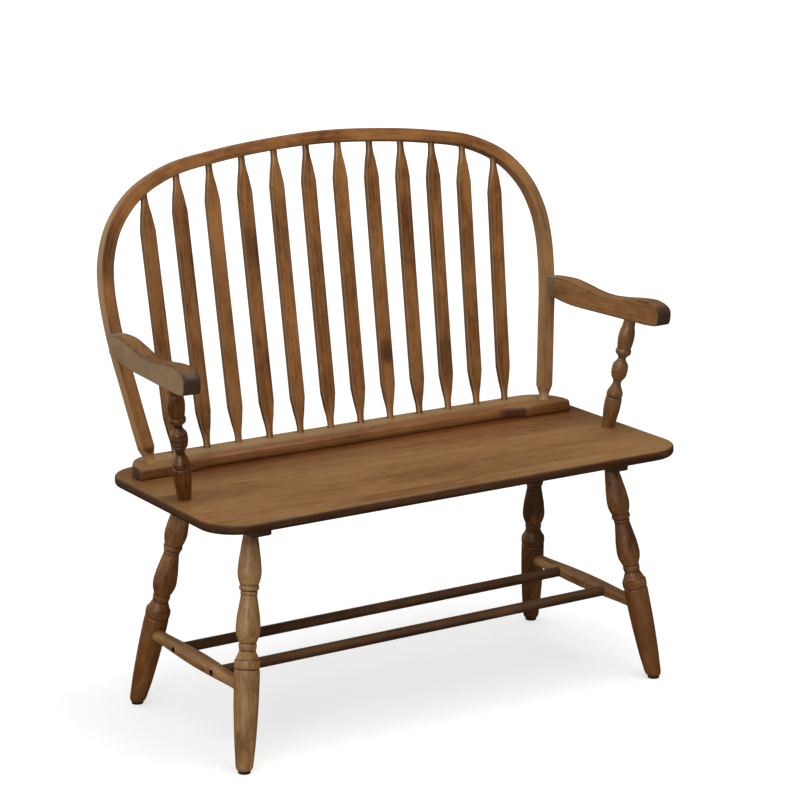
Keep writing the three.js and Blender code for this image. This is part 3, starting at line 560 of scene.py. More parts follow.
def slab(name, outline, thickness, look, lift):
    # plank with rounded edges; lift turns a place on the outline and a height into a shop place
    rounding, topRound = look["round"], look["topRound"]
    rows = look["sideRows"]
    lower = [(rounding + m, 0.0) for m in look["margins"]] + edgeRows(rounding, look["roundSteps"])
    straight = thickness - rounding - topRound
    middle = [(0.0, rounding + straight * i / (rows + 1)) for i in range(1, rows + 1)]
    upper = [(topRound + m, 0.0) for m in look["margins"]] + edgeRows(topRound, look["roundSteps"])
    rings = []
    for inset, height in lower + middle + [(far, thickness - deep) for far, deep in reversed(upper)]:
        rings.append([lift(p.x, p.y, height) for p in drawnIn(outline, inset)])
    return skinned(name, rings)


def cutAcross(tool, point, facing, **choices):
    return bmesh.ops.bisect_plane(tool, geom=tool.verts[:] + tool.edges[:] + tool.faces[:],
                                  dist=1e-4, plane_co=point, plane_no=facing, **choices)


def scored(mesh, way, places):
    # cuts wide flats along planes across X or Y, so that marks can change over them
    facing = Vector((way == "X", way == "Y", 0))
    tool = opened(mesh)
    for place in places:
        cutAcross(tool, facing * place, facing)
    closed(tool, mesh)


def spotted(spots):
    # how much of the spots (centre, half lengths, strength) falls on each place; a spot is full
    # over the inner half of its lengths
    def amount(places, normals):
        total = np.zeros(len(places))
        for centre, halves, strength in spots:
            away = np.sqrt((((places - np.array(centre)) / np.array(halves)) ** 2).sum(1))
            total = np.maximum(total, faded(away, strength, 1.0, 0.5))
        return total
    return amount


def fairRows(rows, step):
    # fair curve through marked rows of (height, radius) that never overshoots a bead or groove
    secants = [(b[1] - a[1]) / (b[0] - a[0]) for a, b in zip(rows, rows[1:])]
    slopes = [secants[0]]
    for before, after in zip(secants, secants[1:]):
        slopes.append(0.0 if before * after <= 0 else 2 * before * after / (before + after))
    slopes.append(secants[-1])
    faired = []
    for i, (a, b) in enumerate(zip(rows, rows[1:])):
        span = b[0] - a[0]
        parts = max(1, math.ceil(span / step))
        for k in range(parts):
            t = k / parts
            radius = ((1 + 2 * t) * (1 - t) ** 2 * a[1] + t * (1 - t) ** 2 * span * slopes[i]
                      + t * t * (3 - 2 * t) * b[1] + t * t * (t - 1) * span * slopes[i + 1])
            faired.append((a[0] + span * t, radius))
    faired.append(rows[-1])
    return faired


def turnedPiece(name, rows, low, high, sides, settleLow=0, settleHigh=0):
    # rows of (distance from low, radius); ends that stand on something level are cut level
    axis = high - low
    length = axis.length
    along = axis.normalized()
    upright = Vector((0, 0, 1 if along.z >= 0 else -1))
    rings = []
    for distance, radius in rows:
        lean = 1.0
        if settleLow:
            lean = smooth(0, settleLow, distance - rows[0][0])
        if settleHigh:
            lean = min(lean, smooth(0, settleHigh, rows[-1][0] - distance))
        facing = (upright * (1 - lean) + along * lean).normalized()
        across, deep = squareTo(facing, along)
        centre = low + axis * (distance / length)
        rings.append([centre + (across * math.cos(a) + deep * math.sin(a)) * radius
                      for a in (2 * math.pi * i / sides for i in range(sides))])
    return skinned(name, rings)


# seat

def roundedSeatOutline(look):
    side, front, back = look["halfWidth"], look["front"], look["back"]
    f, b, steps = look["frontCorner"], look["backCorner"], look["cornerSteps"]
    return (arc(-side + f, front + f, f, 180, 270, steps) + arc(side - f, front + f, f, 270, 360, steps)
            + arc(side - b, back - b, b, 0, 90, steps) + arc(-side + b, back - b, b, 90, 180, steps))


def makeSeat(look):
    bottom = look["top"] - look["thickness"]
    mesh = slab("seatMesh", roundedSeatOutline(look), look["thickness"], look,
                lambda x, y, h: Vector((x, y, bottom + h)))
    scored(mesh, "Y", look["cutsY"])
    scored(mesh, "X", look["cutsX"])
    grain = grainFrame(Vector((-look["halfWidth"], 0, look["top"])),
                       Vector((look["halfWidth"], 0, look["top"])))

    def stainAndPaintedShade(places, normals):
        # painted shade towards the rail, less at the left end, darker to the right, partly stain and
        # partly painted shade, and a painted shadow line round the edge's foot
        x, y, z = places.T
        beside = faded(y, *look["nearRail"]) + faded(y, *look["atRail"])
        beside = beside * mixed(look["leftShare"], 1.0, smooth(*look["leftEnd"], x))
        return np.maximum(beside + faded(x, *look["rightward"]), faded(z - bottom, *look["footLine"]))

    def edgeBand(places, normals):
        # dark band over the edge, deeper towards its foot: partly the stain, darker at edges, and partly
        # painted shade on the faces that turn from level
        side = smooth(*look["bandTurn"], 1 - normals[:, 2])
        return side * (look["band"] + faded(places[:, 2] - bottom, *look["bandFoot"]))

    return fitPiece("seatBoard", mesh, ["seat"], seatFinish, grain, look, look["seed"],
                    darker=stainAndPaintedShade, wash=edgeBand)


makeSeat(seatBoard)

# rail

backRail = {
    "halfWidth": 470, "back": 199, "waistDepth": 72, "endDepth": 86, "endLength": 100,
    "sweepLength": 70, "backCorner": 70, "frontCorner": 4, "thickness": 21, "edgeRound": 1.5,
    "upright": 9, "waistBevel": 13, "endBevel": 7, "arris": 0.6, "topMargins": (0.3, 1.2),
    "sweepSteps": 20, "cornerSteps": 20, "easeSteps": 6, "bevelStep": 0.09, "seed": 11,
    # pull of the sweep from the waist to the corner of the end: share of its length, of its step
    "sweep": [(0.42, 0), (0.72, 0.45)],
    # bevel over the upright face: share of the way up, share of the way back
    "bevel": [(0, 0), (0.5, 0.16), (0.85, 0.5), (1, 1)],
    "cutsX": range(-460, 470, 20), "cutsY": (146, 152, 158, 164, 170, 180, 188),
    # glaze on the ends, and painted shade low on the front, by its height over the seat
    "frontTurn": (0.25, 0.6), "endGlaze": (0.35, 310, 385), "endFace": (0.7, 0.7, 0.95),
    "footShade": (0.9, 3, 0.8), "faceShade": (0.3, 10, 7),
    # dark rubbed spot where the right sweep runs out
    "spot": 0.85, "spotLeft": (292, 330), "spotRight": (373, 362),
    # painted sheen on the flat: where it starts, how far that shifts to the right, least and most
    "flatTurn": (0.9, 0.99), "paleFrom": 140, "paleShift": (9, -110, 150), "paleFade": 20,
    "pale": (0.1, 0.5), "paleBack": 0.75, "paleBackFade": (172, 190),
    "edgeRange": (0.1, 0.45),
}


def railOutline(look, share):
    # outline at a share of the way back over the bevel
    inset = share * look["edgeRound"]
    end, back = look["halfWidth"] - inset, look["back"] - inset
    waist = look["back"] - look["waistDepth"] + share * look["waistBevel"]
    front = look["back"] - look["endDepth"] + share * look["endBevel"]
    inner = look["halfWidth"] - look["endLength"]
    waistX = inner - look["sweepLength"]
    ease, corner = look["frontCorner"] - inset, look["backCorner"] - inset
    pulls = [(waistX + along * look["sweepLength"], mixed(waist, front, out))
             for along, out in look["sweep"]]
    sweep = pulledCurve((waistX, waist), *pulls, (inner, front), look["sweepSteps"])
    points = [(-waistX, waist), (waistX, waist)] + sweep + [(inner, front)]
    points += arc(end - ease, front + ease, ease, -90, 0, look["easeSteps"])
    points += arc(end - corner, back - corner, corner, 0, 90, look["cornerSteps"])
    points += arc(-end + corner, back - corner, corner, 90, 180, look["cornerSteps"])
    points += arc(-end + ease, front + ease, ease, 180, 270, look["easeSteps"])
    return points + [(-inner, front)] + [(-x, y) for x, y in reversed(sweep)]


def makeRail(look):
    bottom, arris, upright = seatBoard["top"], look["arris"], look["upright"]
    bevelHeight = look["thickness"] - upright
    # height, share of the way back over the bevel, inset
    rows = [(0, 0, arris * 2), (0, 0, arris), (arris * 0.3, 0, arris * 0.3), (arris, 0, 0),
            (upright * 0.5, 0, 0)]
    rows += [(upright + up * bevelHeight, back, 0)
             for up, back in fairRows(look["bevel"], look["bevelStep"])]
    rows += [(look["thickness"], 1, inset) for inset in look["topMargins"]]
    rings = [[Vector((p.x, p.y, bottom + height)) for p in drawnIn(railOutline(look, share), inset)]
             for height, share, inset in rows]
    grain = grainFrame(Vector((-look["halfWidth"], 0, bottom)), Vector((look["halfWidth"], 0, bottom)))
    mesh = skinned("railMesh", rings)
    scored(mesh, "X", look["cutsX"])
    scored(mesh, "Y", look["cutsY"])

    def stainAndPaintedShade(places, normals):
        # darker towards both ends, darkest on the end grain and where the right sweep runs out, with
        # painted shade low on the front next to the seat
        x, _, z = places.T
        facing = smooth(*look["frontTurn"], -normals[:, 1])
        ends = faded(np.abs(x), *look["endGlaze"]) * facing
        endGrain = faded(np.abs(normals[:, 0]), *look["endFace"])
        spot = smooth(*look["spotLeft"], x) * smooth(*look["spotRight"], x)
        low = faded(z - bottom, *look["footShade"]) * facing
        face = faded(z - bottom, *look["faceShade"]) * facing
        return np.max([ends, endGrain, low, face, look["spot"] * spot * facing], axis=0)

    def paintedSheenTop(places, normals):
        # painted sheen: the flat is paler behind its front edge, on the right further from the edge
        x, y, _ = places.T
        start = look["paleFrom"] + faded(x, *look["paleShift"])
        behind = mixed(*look["pale"], smooth(start, start + look["paleFade"], y))
        fading = mixed(1.0, look["paleBack"], smooth(*look["paleBackFade"], y))
        return smooth(*look["flatTurn"], normals[:, 2]) * behind * fading

    return fitPiece("backRail", mesh, ["back_rail"], railFinish, grain, look, look["seed"],
                    darker=stainAndPaintedShade, wash=paintedSheenTop)


makeRail(backRail)
railTop = seatBoard["top"] + backRail["thickness"]
print("seat and rail made")

# bow

bow = {
    "halfSpan": 475, "height": 548, "footY": 149.7, "leanDegrees": 12.7,
    "width": 24, "depth": 24.5, "round": 2.4, "cornerPoints": 5, "flatPoints": 5,
    "tenonRadius": 9.7, "lipRadius": 11.4, "lipHeight": 1.6,
    "step": 6, "footStep": 1.0, "footReach": 40, "squareFrom": 38, "inRail": 3, "aimReach": 2,
    "perSpan": 60, "shoulderStep": 0.5, "seed": 21,
    # share of the half span, share of the height above the rail
    "hoop": [(0.908, 0), (0.917, 0.043), (0.938, 0.144), (0.961, 0.262), (0.983, 0.373),
             (0.996, 0.475), (1, 0.576), (0.987, 0.67), (0.939, 0.773), (0.838, 0.869),
             (0.678, 0.937), (0.483, 0.969), (0.272, 0.989), (0, 1)],
    # places, half lengths and strength of darker patches in the stain
    "patches": [((-468, 235, 835), (40, 60, 75), 0.45), ((-436, 152, 492), (30, 30, 12), 0.75),
                ((436, 152, 487), (30, 30, 9), 0.5), ((470, 225, 800), (30, 60, 60), 0.2)],
    # bare wood on the tenon and where the cutter went deep enough into the square bar
    "bareTenon": 0.75, "bareFoot": 0.55, "bareDepth": 1.2,
    # painted light on the left flank, and the paler right limb
    "flankLight": (0.5, 0.6, 0.9), "paleLimb": (0.25, 360, 440),
    # height above the rail, radius the foot is turned to
    "shoulder": [(7, 9.7), (11, 10.2), (15, 11.4), (20, 13.3), (25, 15.2), (30, 17.4)],
}
lean = math.radians(bow["leanDegrees"])
bowUp = Vector((0, math.sin(lean), math.cos(lean)))
bowBack = Vector((0, math.cos(lean), -math.sin(lean)))


def throughPoints(points, perSpan):
    # smooth line through the marked points, which doesn't loop where they stand close
    padded = [points[0] * 2 - points[1]] + points + [points[-1] * 2 - points[-2]]
    line = []
    for i in range(1, len(padded) - 2):
        p0, p1, p2, p3 = padded[i - 1:i + 3]
        d0, d1, d2 = (math.sqrt((b - a).length) for a, b in ((p0, p1), (p1, p2), (p2, p3)))
        leave = ((p1 - p0) / d0 - (p2 - p0) / (d0 + d1) + (p2 - p1) / d1) * d1
        arrive = ((p2 - p1) / d1 - (p3 - p1) / (d1 + d2) + (p3 - p2) / d2) * d1
        for k in range(perSpan):
            t = k / perSpan
            line.append(p1 * (2 * t ** 3 - 3 * t * t + 1) + leave * (t ** 3 - 2 * t * t + t)
                        + p2 * (3 * t * t - 2 * t ** 3) + arrive * (t ** 3 - t * t))
    line.append(points[-1])
    return line


bowHalf = [Vector((share * bow["halfSpan"], bow["footY"], railTop)) + bowUp * (rise * bow["height"])
           for share, rise in bow["hoop"]]
bowOther = [Vector((-p.x, p.y, p.z)) for p in reversed(bowHalf[:-1])]
bowLine = throughPoints(bowHalf + bowOther, bow["perSpan"])


def bowOver(x):
    # where the middle of the bow passes over x on its upper half
    for a, b in zip(bowLine, bowLine[1:]):
        if a.z > railTop + bow["height"] / 2 and b.x <= x <= a.x:
            return a.lerp(b, (a.x - x) / (a.x - b.x))


def squareRing(halfWidth, halfDepth, rounding, cornerPoints, flatPoints):
    # counter-clockwise rounded rectangle with points along its flats
    ring = []
    corners = ((1, 1, 0), (-1, 1, 90), (-1, -1, 180), (1, -1, 270))
    for k, (sx, sy, start) in enumerate(corners):
        swept = arc(sx * (halfWidth - rounding), sy * (halfDepth - rounding), rounding,
                    start, start + 90, cornerPoints - 1)
        ring += swept
        nx, ny, nextStart = corners[(k + 1) % 4]
        following = arc(nx * (halfWidth - rounding), ny * (halfDepth - rounding), rounding,
                        nextStart, nextStart + 90, 1)[0]
        for i in range(1, flatPoints + 1):
            share = i / (flatPoints + 1)
            ring.append((mixed(swept[-1][0], following[0], share),
                         mixed(swept[-1][1], following[1], share)))
    return ring


def heightRadius(rows, height):
    for (h0, r0), (h1, r1) in zip(rows, rows[1:]):
        if h0 <= height <= h1:
            return mixed(r0, r1, (height - h0) / (h1 - h0))
    return rows[0][1] if height < rows[0][0] else rows[-1][1]


def makeBow(look):
    lengths = [0.0]
    for a, b in zip(bowLine, bowLine[1:]):
        lengths.append(lengths[-1] + (b - a).length)
    total = lengths[-1]
    stops = [-look["inRail"]]
    while stops[-1] < look["footReach"]:
        stops.append(stops[-1] + look["footStep"])
    count = round((total - 2 * stops[-1]) / look["step"])
    middle = [mixed(stops[-1], total - stops[-1], i / count) for i in range(1, count)]
    stops = stops + middle + [total - s for s in reversed(stops)]
    section = squareRing(look["width"] / 2, look["depth"] / 2, look["round"],
                         look["cornerPoints"], look["flatPoints"])
    turnedRows = fairRows(look["shoulder"], look["shoulderStep"])

    def pointAt(distance):
        if distance <= 0:
            return bowLine[0] + (bowLine[0] - bowLine[1]).normalized() * -distance
        if distance >= total:
            return bowLine[-1] + (bowLine[-1] - bowLine[-2]).normalized() * (distance - total)
        k = int(np.searchsorted(lengths, distance)) - 1
        return bowLine[k].lerp(bowLine[k + 1], (distance - lengths[k]) / (lengths[k + 1] - lengths[k]))

    rings, grain, bare = [], [], []
    for stop in stops:
        here = pointAt(stop)
        along = (pointAt(stop + look["aimReach"]) - pointAt(stop - look["aimReach"])).normalized()
        across = bowBack.cross(along).normalized()
        height = min(stop, total - stop)
        if height > look["squareFrom"]:
            limit = look["width"] + look["depth"]
        elif height < look["lipHeight"]:
            limit = look["lipRadius"]
        else:
            limit = max(heightRadius(turnedRows, height), look["tenonRadius"])
        ring = []
        for a, b in section:
            reach = math.hypot(a, b)
            trim = min(1.0, limit / reach)
            ring.append(here + across * (a * trim) + bowBack * (b * trim))
            grain.append((a * trim, b * trim, stop))
            cutBack = 0.0
            if height < look["squareFrom"]:
                cutBack = smooth(0.0, look["bareDepth"], reach - limit)
            bare.append(look["bareFoot"] * cutBack if height > look["lipHeight"] else look["bareTenon"])
        rings.append(ring)
    mesh = skinned("bowMesh", rings)

    def bareAndPaintedLight(places, normals):
        # bare wood at the turned feet, painted light on the outer flank on the left, a paler right limb
        flank = faded(-normals[:, 0], *look["flankLight"]) * (places[:, 0] < 0)
        return np.max([np.array(bare), flank, faded(places[:, 0], *look["paleLimb"])], axis=0)

    return fitPiece("backBow", mesh, ["back_bow"], backFinish, grain, look, look["seed"],
                    darker=spotted(look["patches"]), wash=bareAndPaintedLight)


makeBow(bow)

# spindles

spindles = {
    "count": 12, "pitchLow": 65.9, "pitchHigh": 68.9, "rowY": 185, "width": 28.5, "thickness": 11,
    "round": 2, "neck": 12.6, "arrow": 66, "bend": 1.2, "sunkIn": 3, "step": 4, "arrowSteps": 24,
    "flareStep": 0.02, "aimReach": 3, "roundUntil": 0.5, "roundest": 0.97, "cornerPoints": 5,
    "flatPoints": 3, "seed": 40,
    # share of the arrow, share of the growth from neck to full width
    "flare": [(0, 0), (0.15, 0.03), (0.3, 0.13), (0.6, 0.47), (0.9, 0.87), (1, 1)],
    "tones": [0.02, -0.02, 0.04, -0.05, 0.04, -0.05, 0.02, 0.02, -0.1, -0.06, 0.04, 0.0],
    # spindle number: height above the rail, half length and strength of a darker patch
    "patches": {4: (355, 55, 0.35), 6: (240, 110, 0.2), 8: (128, 30, 0.55), 10: (95, 55, 0.5),
                11: (300, 60, 0.2)},
    # painted shade on the narrow sides, and a painted highlight on the front left arris
    "sideShade": (0.45, 0.8, 0.97), "arris": (0.55, 0.2, 0.6), "arrisFront": (0.3, 0.6),
    "edgeRange": (0.15, 0.45),
}


def makeSpindle(number, look):
    place = number - (look["count"] - 1) / 2
    low = Vector((place * look["pitchLow"], look["rowY"], railTop))
    high = bowOver(place * look["pitchHigh"])
    length = (high - low).length
    topFace = length - bow["width"] / 2
    arrow, steps, aim = look["arrow"], look["arrowSteps"], look["aimReach"]
    flare = fairRows(look["flare"], look["flareStep"])

    def axisPoint(distance):
        share = distance / length
        return low.lerp(high, share) + bowBack * (look["bend"] * 4 * share * (1 - share))

    stops = [-look["sunkIn"]] + [arrow * k / steps for k in range(steps + 1)]
    count = round((topFace - 2 * arrow) / look["step"])
    stops += [mixed(arrow, topFace - arrow, i / count) for i in range(1, count)]
    stops += [topFace - arrow * k / steps for k in range(steps, -1, -1)] + [topFace + look["sunkIn"]]
    rings = []
    for stop in stops:
        near = max(0.0, min(stop, topFace - stop)) / arrow
        growth = heightRadius(flare, near) if near < 1 else 1.0
        halfWidth = mixed(look["neck"], look["width"], growth) / 2
        halfDepth = mixed(look["neck"], look["thickness"], growth) / 2
        rounding = mixed(min(halfWidth, halfDepth), look["round"], smooth(0, look["roundUntil"], growth))
        # never quite the half width, so that the flats keep a width of their own at the necks
        rounding = min(rounding, look["roundest"] * halfWidth, look["roundest"] * halfDepth)
        along = (axisPoint(stop + aim) - axisPoint(stop - aim)).normalized()
        side = (Vector((1, 0, 0)) - along * along.x).normalized()
        deep = along.cross(side)
        rings.append([axisPoint(stop) + side * a + deep * b
                      for a, b in squareRing(halfWidth, halfDepth, rounding, look["cornerPoints"],
                                             look["flatPoints"])])
    mesh = skinned(f"spindleMesh{number + 1:02d}", rings)
    height, half, strength = look["patches"].get(number + 1, (0, 1, 0))
    patch = spotted([(axisPoint(height), (look["width"], look["width"] * 2, half), strength)])

    def patchAndSideShade(places, normals):
        # a darker patch, and painted shade on the narrow sides
        return np.maximum(patch(places, normals), faded(np.abs(normals[:, 0]), *look["sideShade"]))

    def paintedArrisHighlight(places, normals):
        # painted highlight along the front left arris
        return faded(-normals[:, 0], *look["arris"]) * smooth(*look["arrisFront"], -normals[:, 1])

    return fitPiece(f"arrowSpindle{number + 1:02d}", mesh, [f"spindle_{number + 1:02d}"],
                    backFinish, grainFrame(low, high), look, look["seed"] + number,
                    tone=look["tones"][number], darker=patchAndSideShade, wash=paintedArrisHighlight)


for spindleNumber in range(spindles["count"]):
    makeSpindle(spindleNumber, spindles)
print("bow and spindles made")

# arms

arms = {
    "tip": (497.5, -140), "backX": 474, "underside": 660, "rise": 46, "width": 32, "round": 1.6,
    "topRound": 1.6, "roundSteps": 5, "margins": (2.0, 0.6), "sideRows": 3, "endNarrow": 6,
    "endTaper": 30, "endBevel": 0.8, "fitGap": 0.3, "seed": 60,
    # share of the length from the tip, share of the rise: back underside round to back top
    "side": [(1.06, 0.28), (1, 0.25), (0.92, 0.17), (0.855, 0.085), (0.77, 0.02), (0.68, 0),
             (0.45, 0), (0.25, 0), (0.18, 0), (0.12, 0), (0.054, 0.03), (0.018, 0.08),
             (0.005, 0.23), (0, 0.5), (0.006, 0.69), (0.033, 0.84), (0.08, 0.945), (0.13, 0.975),
             (0.226, 0.92), (0.343, 0.81), (0.47, 0.74), (0.58, 0.79), (0.684, 0.915),
             (0.786, 1.02), (0.85, 1.03), (0.92, 1.01), (1, 0.97), (1.06, 0.95)],
    "samples": 9, "cutsY": range(-132, 192, 12),
    # painted shade on the top, a grey stretch before the bow, painted grey light on the outer cheek
    "topShade": (0.3, 0.5, 0.9), "greyByBow": (0.75, 38, 16), "greyLitCheek": (0.42, 0.3, 0.8),
    # painted highlight along a stretch of the left arris: strength, turn to the left and up, front and
    # back end
    "arrisHighlight": 0.8, "arrisLeft": (0.3, 0.6), "arrisUp": (0.4, 0.7), "arrisFront": (-100, -60),
    "arrisBack": (60, 10),
    "edgeRange": (0.15, 0.45),
}
armBackY = bow["footY"] + (arms["underside"] - railTop) * math.tan(lean)


def splineThrough(points, samples):
    # smooth outline through the drawn points
    line = []
    for i in range(len(points) - 1):
        p0, p1 = points[max(i - 1, 0)], points[i]
        p2, p3 = points[i + 1], points[min(i + 2, len(points) - 1)]
        for k in range(samples):
            t = k / samples
            line.append(tuple(0.5 * (2 * p1[c] + (p2[c] - p0[c]) * t
                                     + (2 * p0[c] - 5 * p1[c] + 4 * p2[c] - p3[c]) * t * t
                                     + (3 * p1[c] - p0[c] - 3 * p2[c] + p3[c]) * t ** 3)
                              for c in (0, 1)))
    line.append(tuple(points[-1]))
    return line


def sawnOff(mesh, point, outwardWay, bevel):
    # cuts away what lies beyond a plane, closes the cut and eases its rim
    tool = opened(mesh)
    done = cutAcross(tool, point, outwardWay, clear_outer=True)
    rim = [e for e in done["geom_cut"] if isinstance(e, bmesh.types.BMEdge)]
    filled = bmesh.ops.edgeloop_fill(tool, edges=rim)["faces"]
    bmesh.ops.recalc_face_normals(tool, faces=tool.faces)
    if bevel:
        edges = [e for face in filled for e in face.edges]
        bmesh.ops.bevel(tool, geom=edges, offset=bevel, offset_type="OFFSET", segments=2,
                        profile=0.5, affect="EDGES", clamp_overlap=True)
    closed(tool, mesh)


def makeArm(side, sideName, look):
    tip = Vector((side * look["tip"][0], look["tip"][1], look["underside"]))
    back = Vector((side * look["backX"], armBackY, look["underside"]))
    along = (back - tip).normalized()
    length = (back - tip).length
    outline = splineThrough([(way * length, rise * look["rise"]) for way, rise in look["side"]],
                            look["samples"])
    outline.reverse()   # counter-clockwise, as the slab wants it
    across = Vector((0, 0, 1)).cross(along)
    start = tip - across * (look["width"] / 2)
    mesh = slab(f"armMesh{sideName}", outline, look["width"], look,
                lambda x, y, h: start + along * x + Vector((0, 0, y)) + across * h)
    # the inner cheek narrows towards the bow
    inward = Vector((-side, 0, 0))
    innerX = look["backX"] - look["width"] / 2
    splay = (look["tip"][0] - look["backX"]) * look["endTaper"] / (armBackY - look["tip"][1])
    taperStart = Vector((side * (innerX + splay), armBackY - look["endTaper"], look["underside"]))
    taperEnd = Vector((side * (innerX + look["endNarrow"]), armBackY, look["underside"]))
    cheekWay = (taperEnd - taperStart).cross(Vector((0, 0, 1))).normalized()
    if cheekWay.dot(inward) < 0:
        cheekWay.negate()
    scored(mesh, "Y", look["cutsY"])
    sawnOff(mesh, taperStart, cheekWay, 0)
    face = bow["depth"] / 2 + look["fitGap"]
    bowFront = Vector((0, bow["footY"], railTop)) - bowBack * face
    sawnOff(mesh, bowFront, bowBack, look["endBevel"])

    def topShade(places, normals):
        # painted shade: the top faces are darkened
        return faded(normals[:, 2], *look["topShade"])

    def greyPatchAndPaintedLight(places, normals):
        # grey patch by the bow, painted grey light on the outer cheek, and a painted highlight along a
        # stretch of the left arris
        y = places[:, 1]
        near = faded(armBackY - y, *look["greyByBow"])
        outer = faded(normals[:, 0] * side, *look["greyLitCheek"])
        arris = smooth(*look["arrisLeft"], -normals[:, 0])
        arris = arris * smooth(*look["arrisUp"], normals[:, 2])
        arris = arris * smooth(*look["arrisFront"], y) * smooth(*look["arrisBack"], y)
        return np.max([near, outer, look["arrisHighlight"] * arris], axis=0)

    return fitPiece(f"arm{sideName}", mesh, [f"arm_{sideName.lower()}"], armFinish,
                    grainFrame(tip, back), look, look["seed"] + side, darker=topShade, wash=greyPatchAndPaintedLight)


sides = ((-1, "Left"), (1, "Right"))
ends = ("Front", "Back")
for sideSign, sideWord in sides:
    makeArm(sideSign, sideWord, arms)

# arm posts

armPosts = {
    "foot": (456.5, -26), "head": (484.5, -51), "sides": 40, "step": 0.9, "settle": 14, "seed": 80,
    "tones": {-1: -0.16, 1: 0.08}, "wash": {-1: 0.0, 1: 0.4},
    "edgeRange": (0.3, 0.9), "grooveRange": (0.02, 0.22),
    # height above the seat, diameter
    "turning": [(0, 24.3), (8, 25.8), (23, 28.8), (39, 31.8), (48, 32), (57.6, 31.2), (59, 29),
                (60, 25.8), (61, 29), (62, 30.8), (65, 31.2), (68, 30.6), (74, 26), (81, 19.3),
                (87, 15.6), (90, 16.2), (94, 19.7), (97, 24), (99.6, 27.4), (100.8, 26.2),
                (102, 28.4), (105, 29.9), (106.6, 30.3), (107.6, 28.8), (108.6, 30.6),
                (112.6, 31.3), (116.4, 31), (117.4, 29.4), (118.4, 30.6), (123, 29.2),
                (127.5, 23.5), (132, 17.2), (136, 15.2), (139.5, 18), (142.5, 24.7), (145, 28.8),
                (149, 30.2), (152, 29), (153.6, 26), (156, 26.6), (162, 28.7), (170, 30.4),
                (177, 31.1), (184, 30.2), (190, 28.2), (198, 24.3), (210, 22.6)],
}


def makeArmPost(side, sideName, look):
    low = Vector((side * look["foot"][0], look["foot"][1], seatBoard["top"]))
    high = Vector((side * look["head"][0], look["head"][1], arms["underside"]))
    stretch = (high - low).length / (arms["underside"] - seatBoard["top"])
    profile = [(height * stretch, width / 2) for height, width in look["turning"]]
    mesh = turnedPiece(f"armPostMesh{sideName}", fairRows(profile, look["step"]), low, high,
                       look["sides"], look["settle"], look["settle"])
    return fitPiece(f"armPost{sideName}", mesh, [f"arm_post_{sideName.lower()}"],
                    postFinish, grainFrame(low, high), look, look["seed"] + side,
                    tone=look["tones"][side], wash=allOver(look["wash"][side]))


for sideSign, sideWord in sides:
    makeArmPost(sideSign, sideWord, armPosts)
print("arms and posts made")

# legs

legs = {
    "footX": 444, "footY": {"Front": -202, "Back": 202}, "topX": 381.5,
    "topY": {"Front": -127, "Back": 105}, "top": 432, "sides": 44, "step": 1.1, "settle": 45,
    "seed": 100,
    # the legs differ in tone as their wood does, and the front left one is also painted lighter where
    # the light from the left and front falls on it
    "tones": {"FrontLeft": 0.22, "BackLeft": 0.0, "FrontRight": -0.04, "BackRight": -0.28},
    "warmth": {"FrontLeft": 0.0, "BackLeft": 0.5, "FrontRight": 0.6, "BackRight": 0.2},
    # painted shade under the seat; the warmth keeps only a share of itself above the foot
    "underSeat": (0.55, 342, 422), "warmShare": 0.25, "warmFade": (230, 160),
    "edgeRange": (0.25, 0.8), "grooveRange": (0.02, 0.22),
    # height over the floor, radius
    "turning": [(5.2, 11.6), (6.4, 13), (9, 14.5), (13, 15.5), (22, 16.2), (32, 17), (42, 18),
                (52, 18.7), (73, 19.9), (83, 20.4), (103, 21.3), (123, 21.9), (142, 22.2),
                (162, 22.4), (172, 22.3), (174.4, 21.6), (175.6, 20.6), (176.8, 21.6), (179, 22.6),
                (184, 22.8), (190, 22.5), (192, 20.6), (197, 18.5), (202, 16.1), (205.6, 14.8),
                (207, 14.3), (208.6, 14.9), (212, 15.5), (215.6, 15.9), (217.6, 15.6),
                (219, 14.8), (220.4, 15.4), (222, 16.1), (227, 18.2), (232, 20), (238, 21.2),
                (243, 21.6), (248, 21.4), (258, 20.6), (268, 19.5), (278, 17.7), (288, 16.2),
                (296, 14.8), (300.6, 14.3), (302.6, 15), (304.6, 15.1), (306.4, 14.4), (307.4, 14.6),
                (308.6, 16.4), (312, 17.5), (315, 17.2), (316.6, 16.2), (317.6, 16.4), (323, 18.3),
                (328, 19.7), (333, 20.5), (338, 20.9), (343, 20.8), (348, 20.3), (354, 19.8),
                (364, 18.6), (374, 17), (384, 15.7), (394, 14), (402, 12.9), (414, 12.6),
                (431.6, 12.4)],
}


def legEnds(side, end):
    return (Vector((side * legs["footX"], legs["footY"][end], 0)),
            Vector((side * legs["topX"], legs["topY"][end], legs["top"])))


def makeLeg(side, sideName, end, look, seed):
    low, high = legEnds(side, end)
    stretch = (high - low).length / look["top"]
    profile = [(height * stretch, radius) for height, radius in look["turning"]]
    mesh = turnedPiece(f"legMesh{end}{sideName}", fairRows(profile, look["step"]), low, high,
                       look["sides"], look["settle"])

    def underSeat(places, normals):
        # painted shade: the tops of the legs darken under the seat
        return faded(places[:, 2], *look["underSeat"])

    def warmFoot(places, normals):
        share = mixed(look["warmShare"], 1.0, smooth(*look["warmFade"], places[:, 2]))
        return look["warmth"][end + sideName] * share

    return fitPiece(f"leg{end}{sideName}", mesh, [f"leg_{end.lower()}_{sideName.lower()}"],
                    legFinish, grainFrame(low, high), look, seed,
                    tone=look["tones"][end + sideName], darker=underSeat, wash=warmFoot)


glides = {
    "height": 5, "sides": 40, "seed": 7,
    # height over the floor, radius
    "turning": [(0, 5.8), (0.02, 9.4), (0.36, 10.64), (1.2, 11), (3, 11), (4.5, 10.9), (5, 10.4)],
}


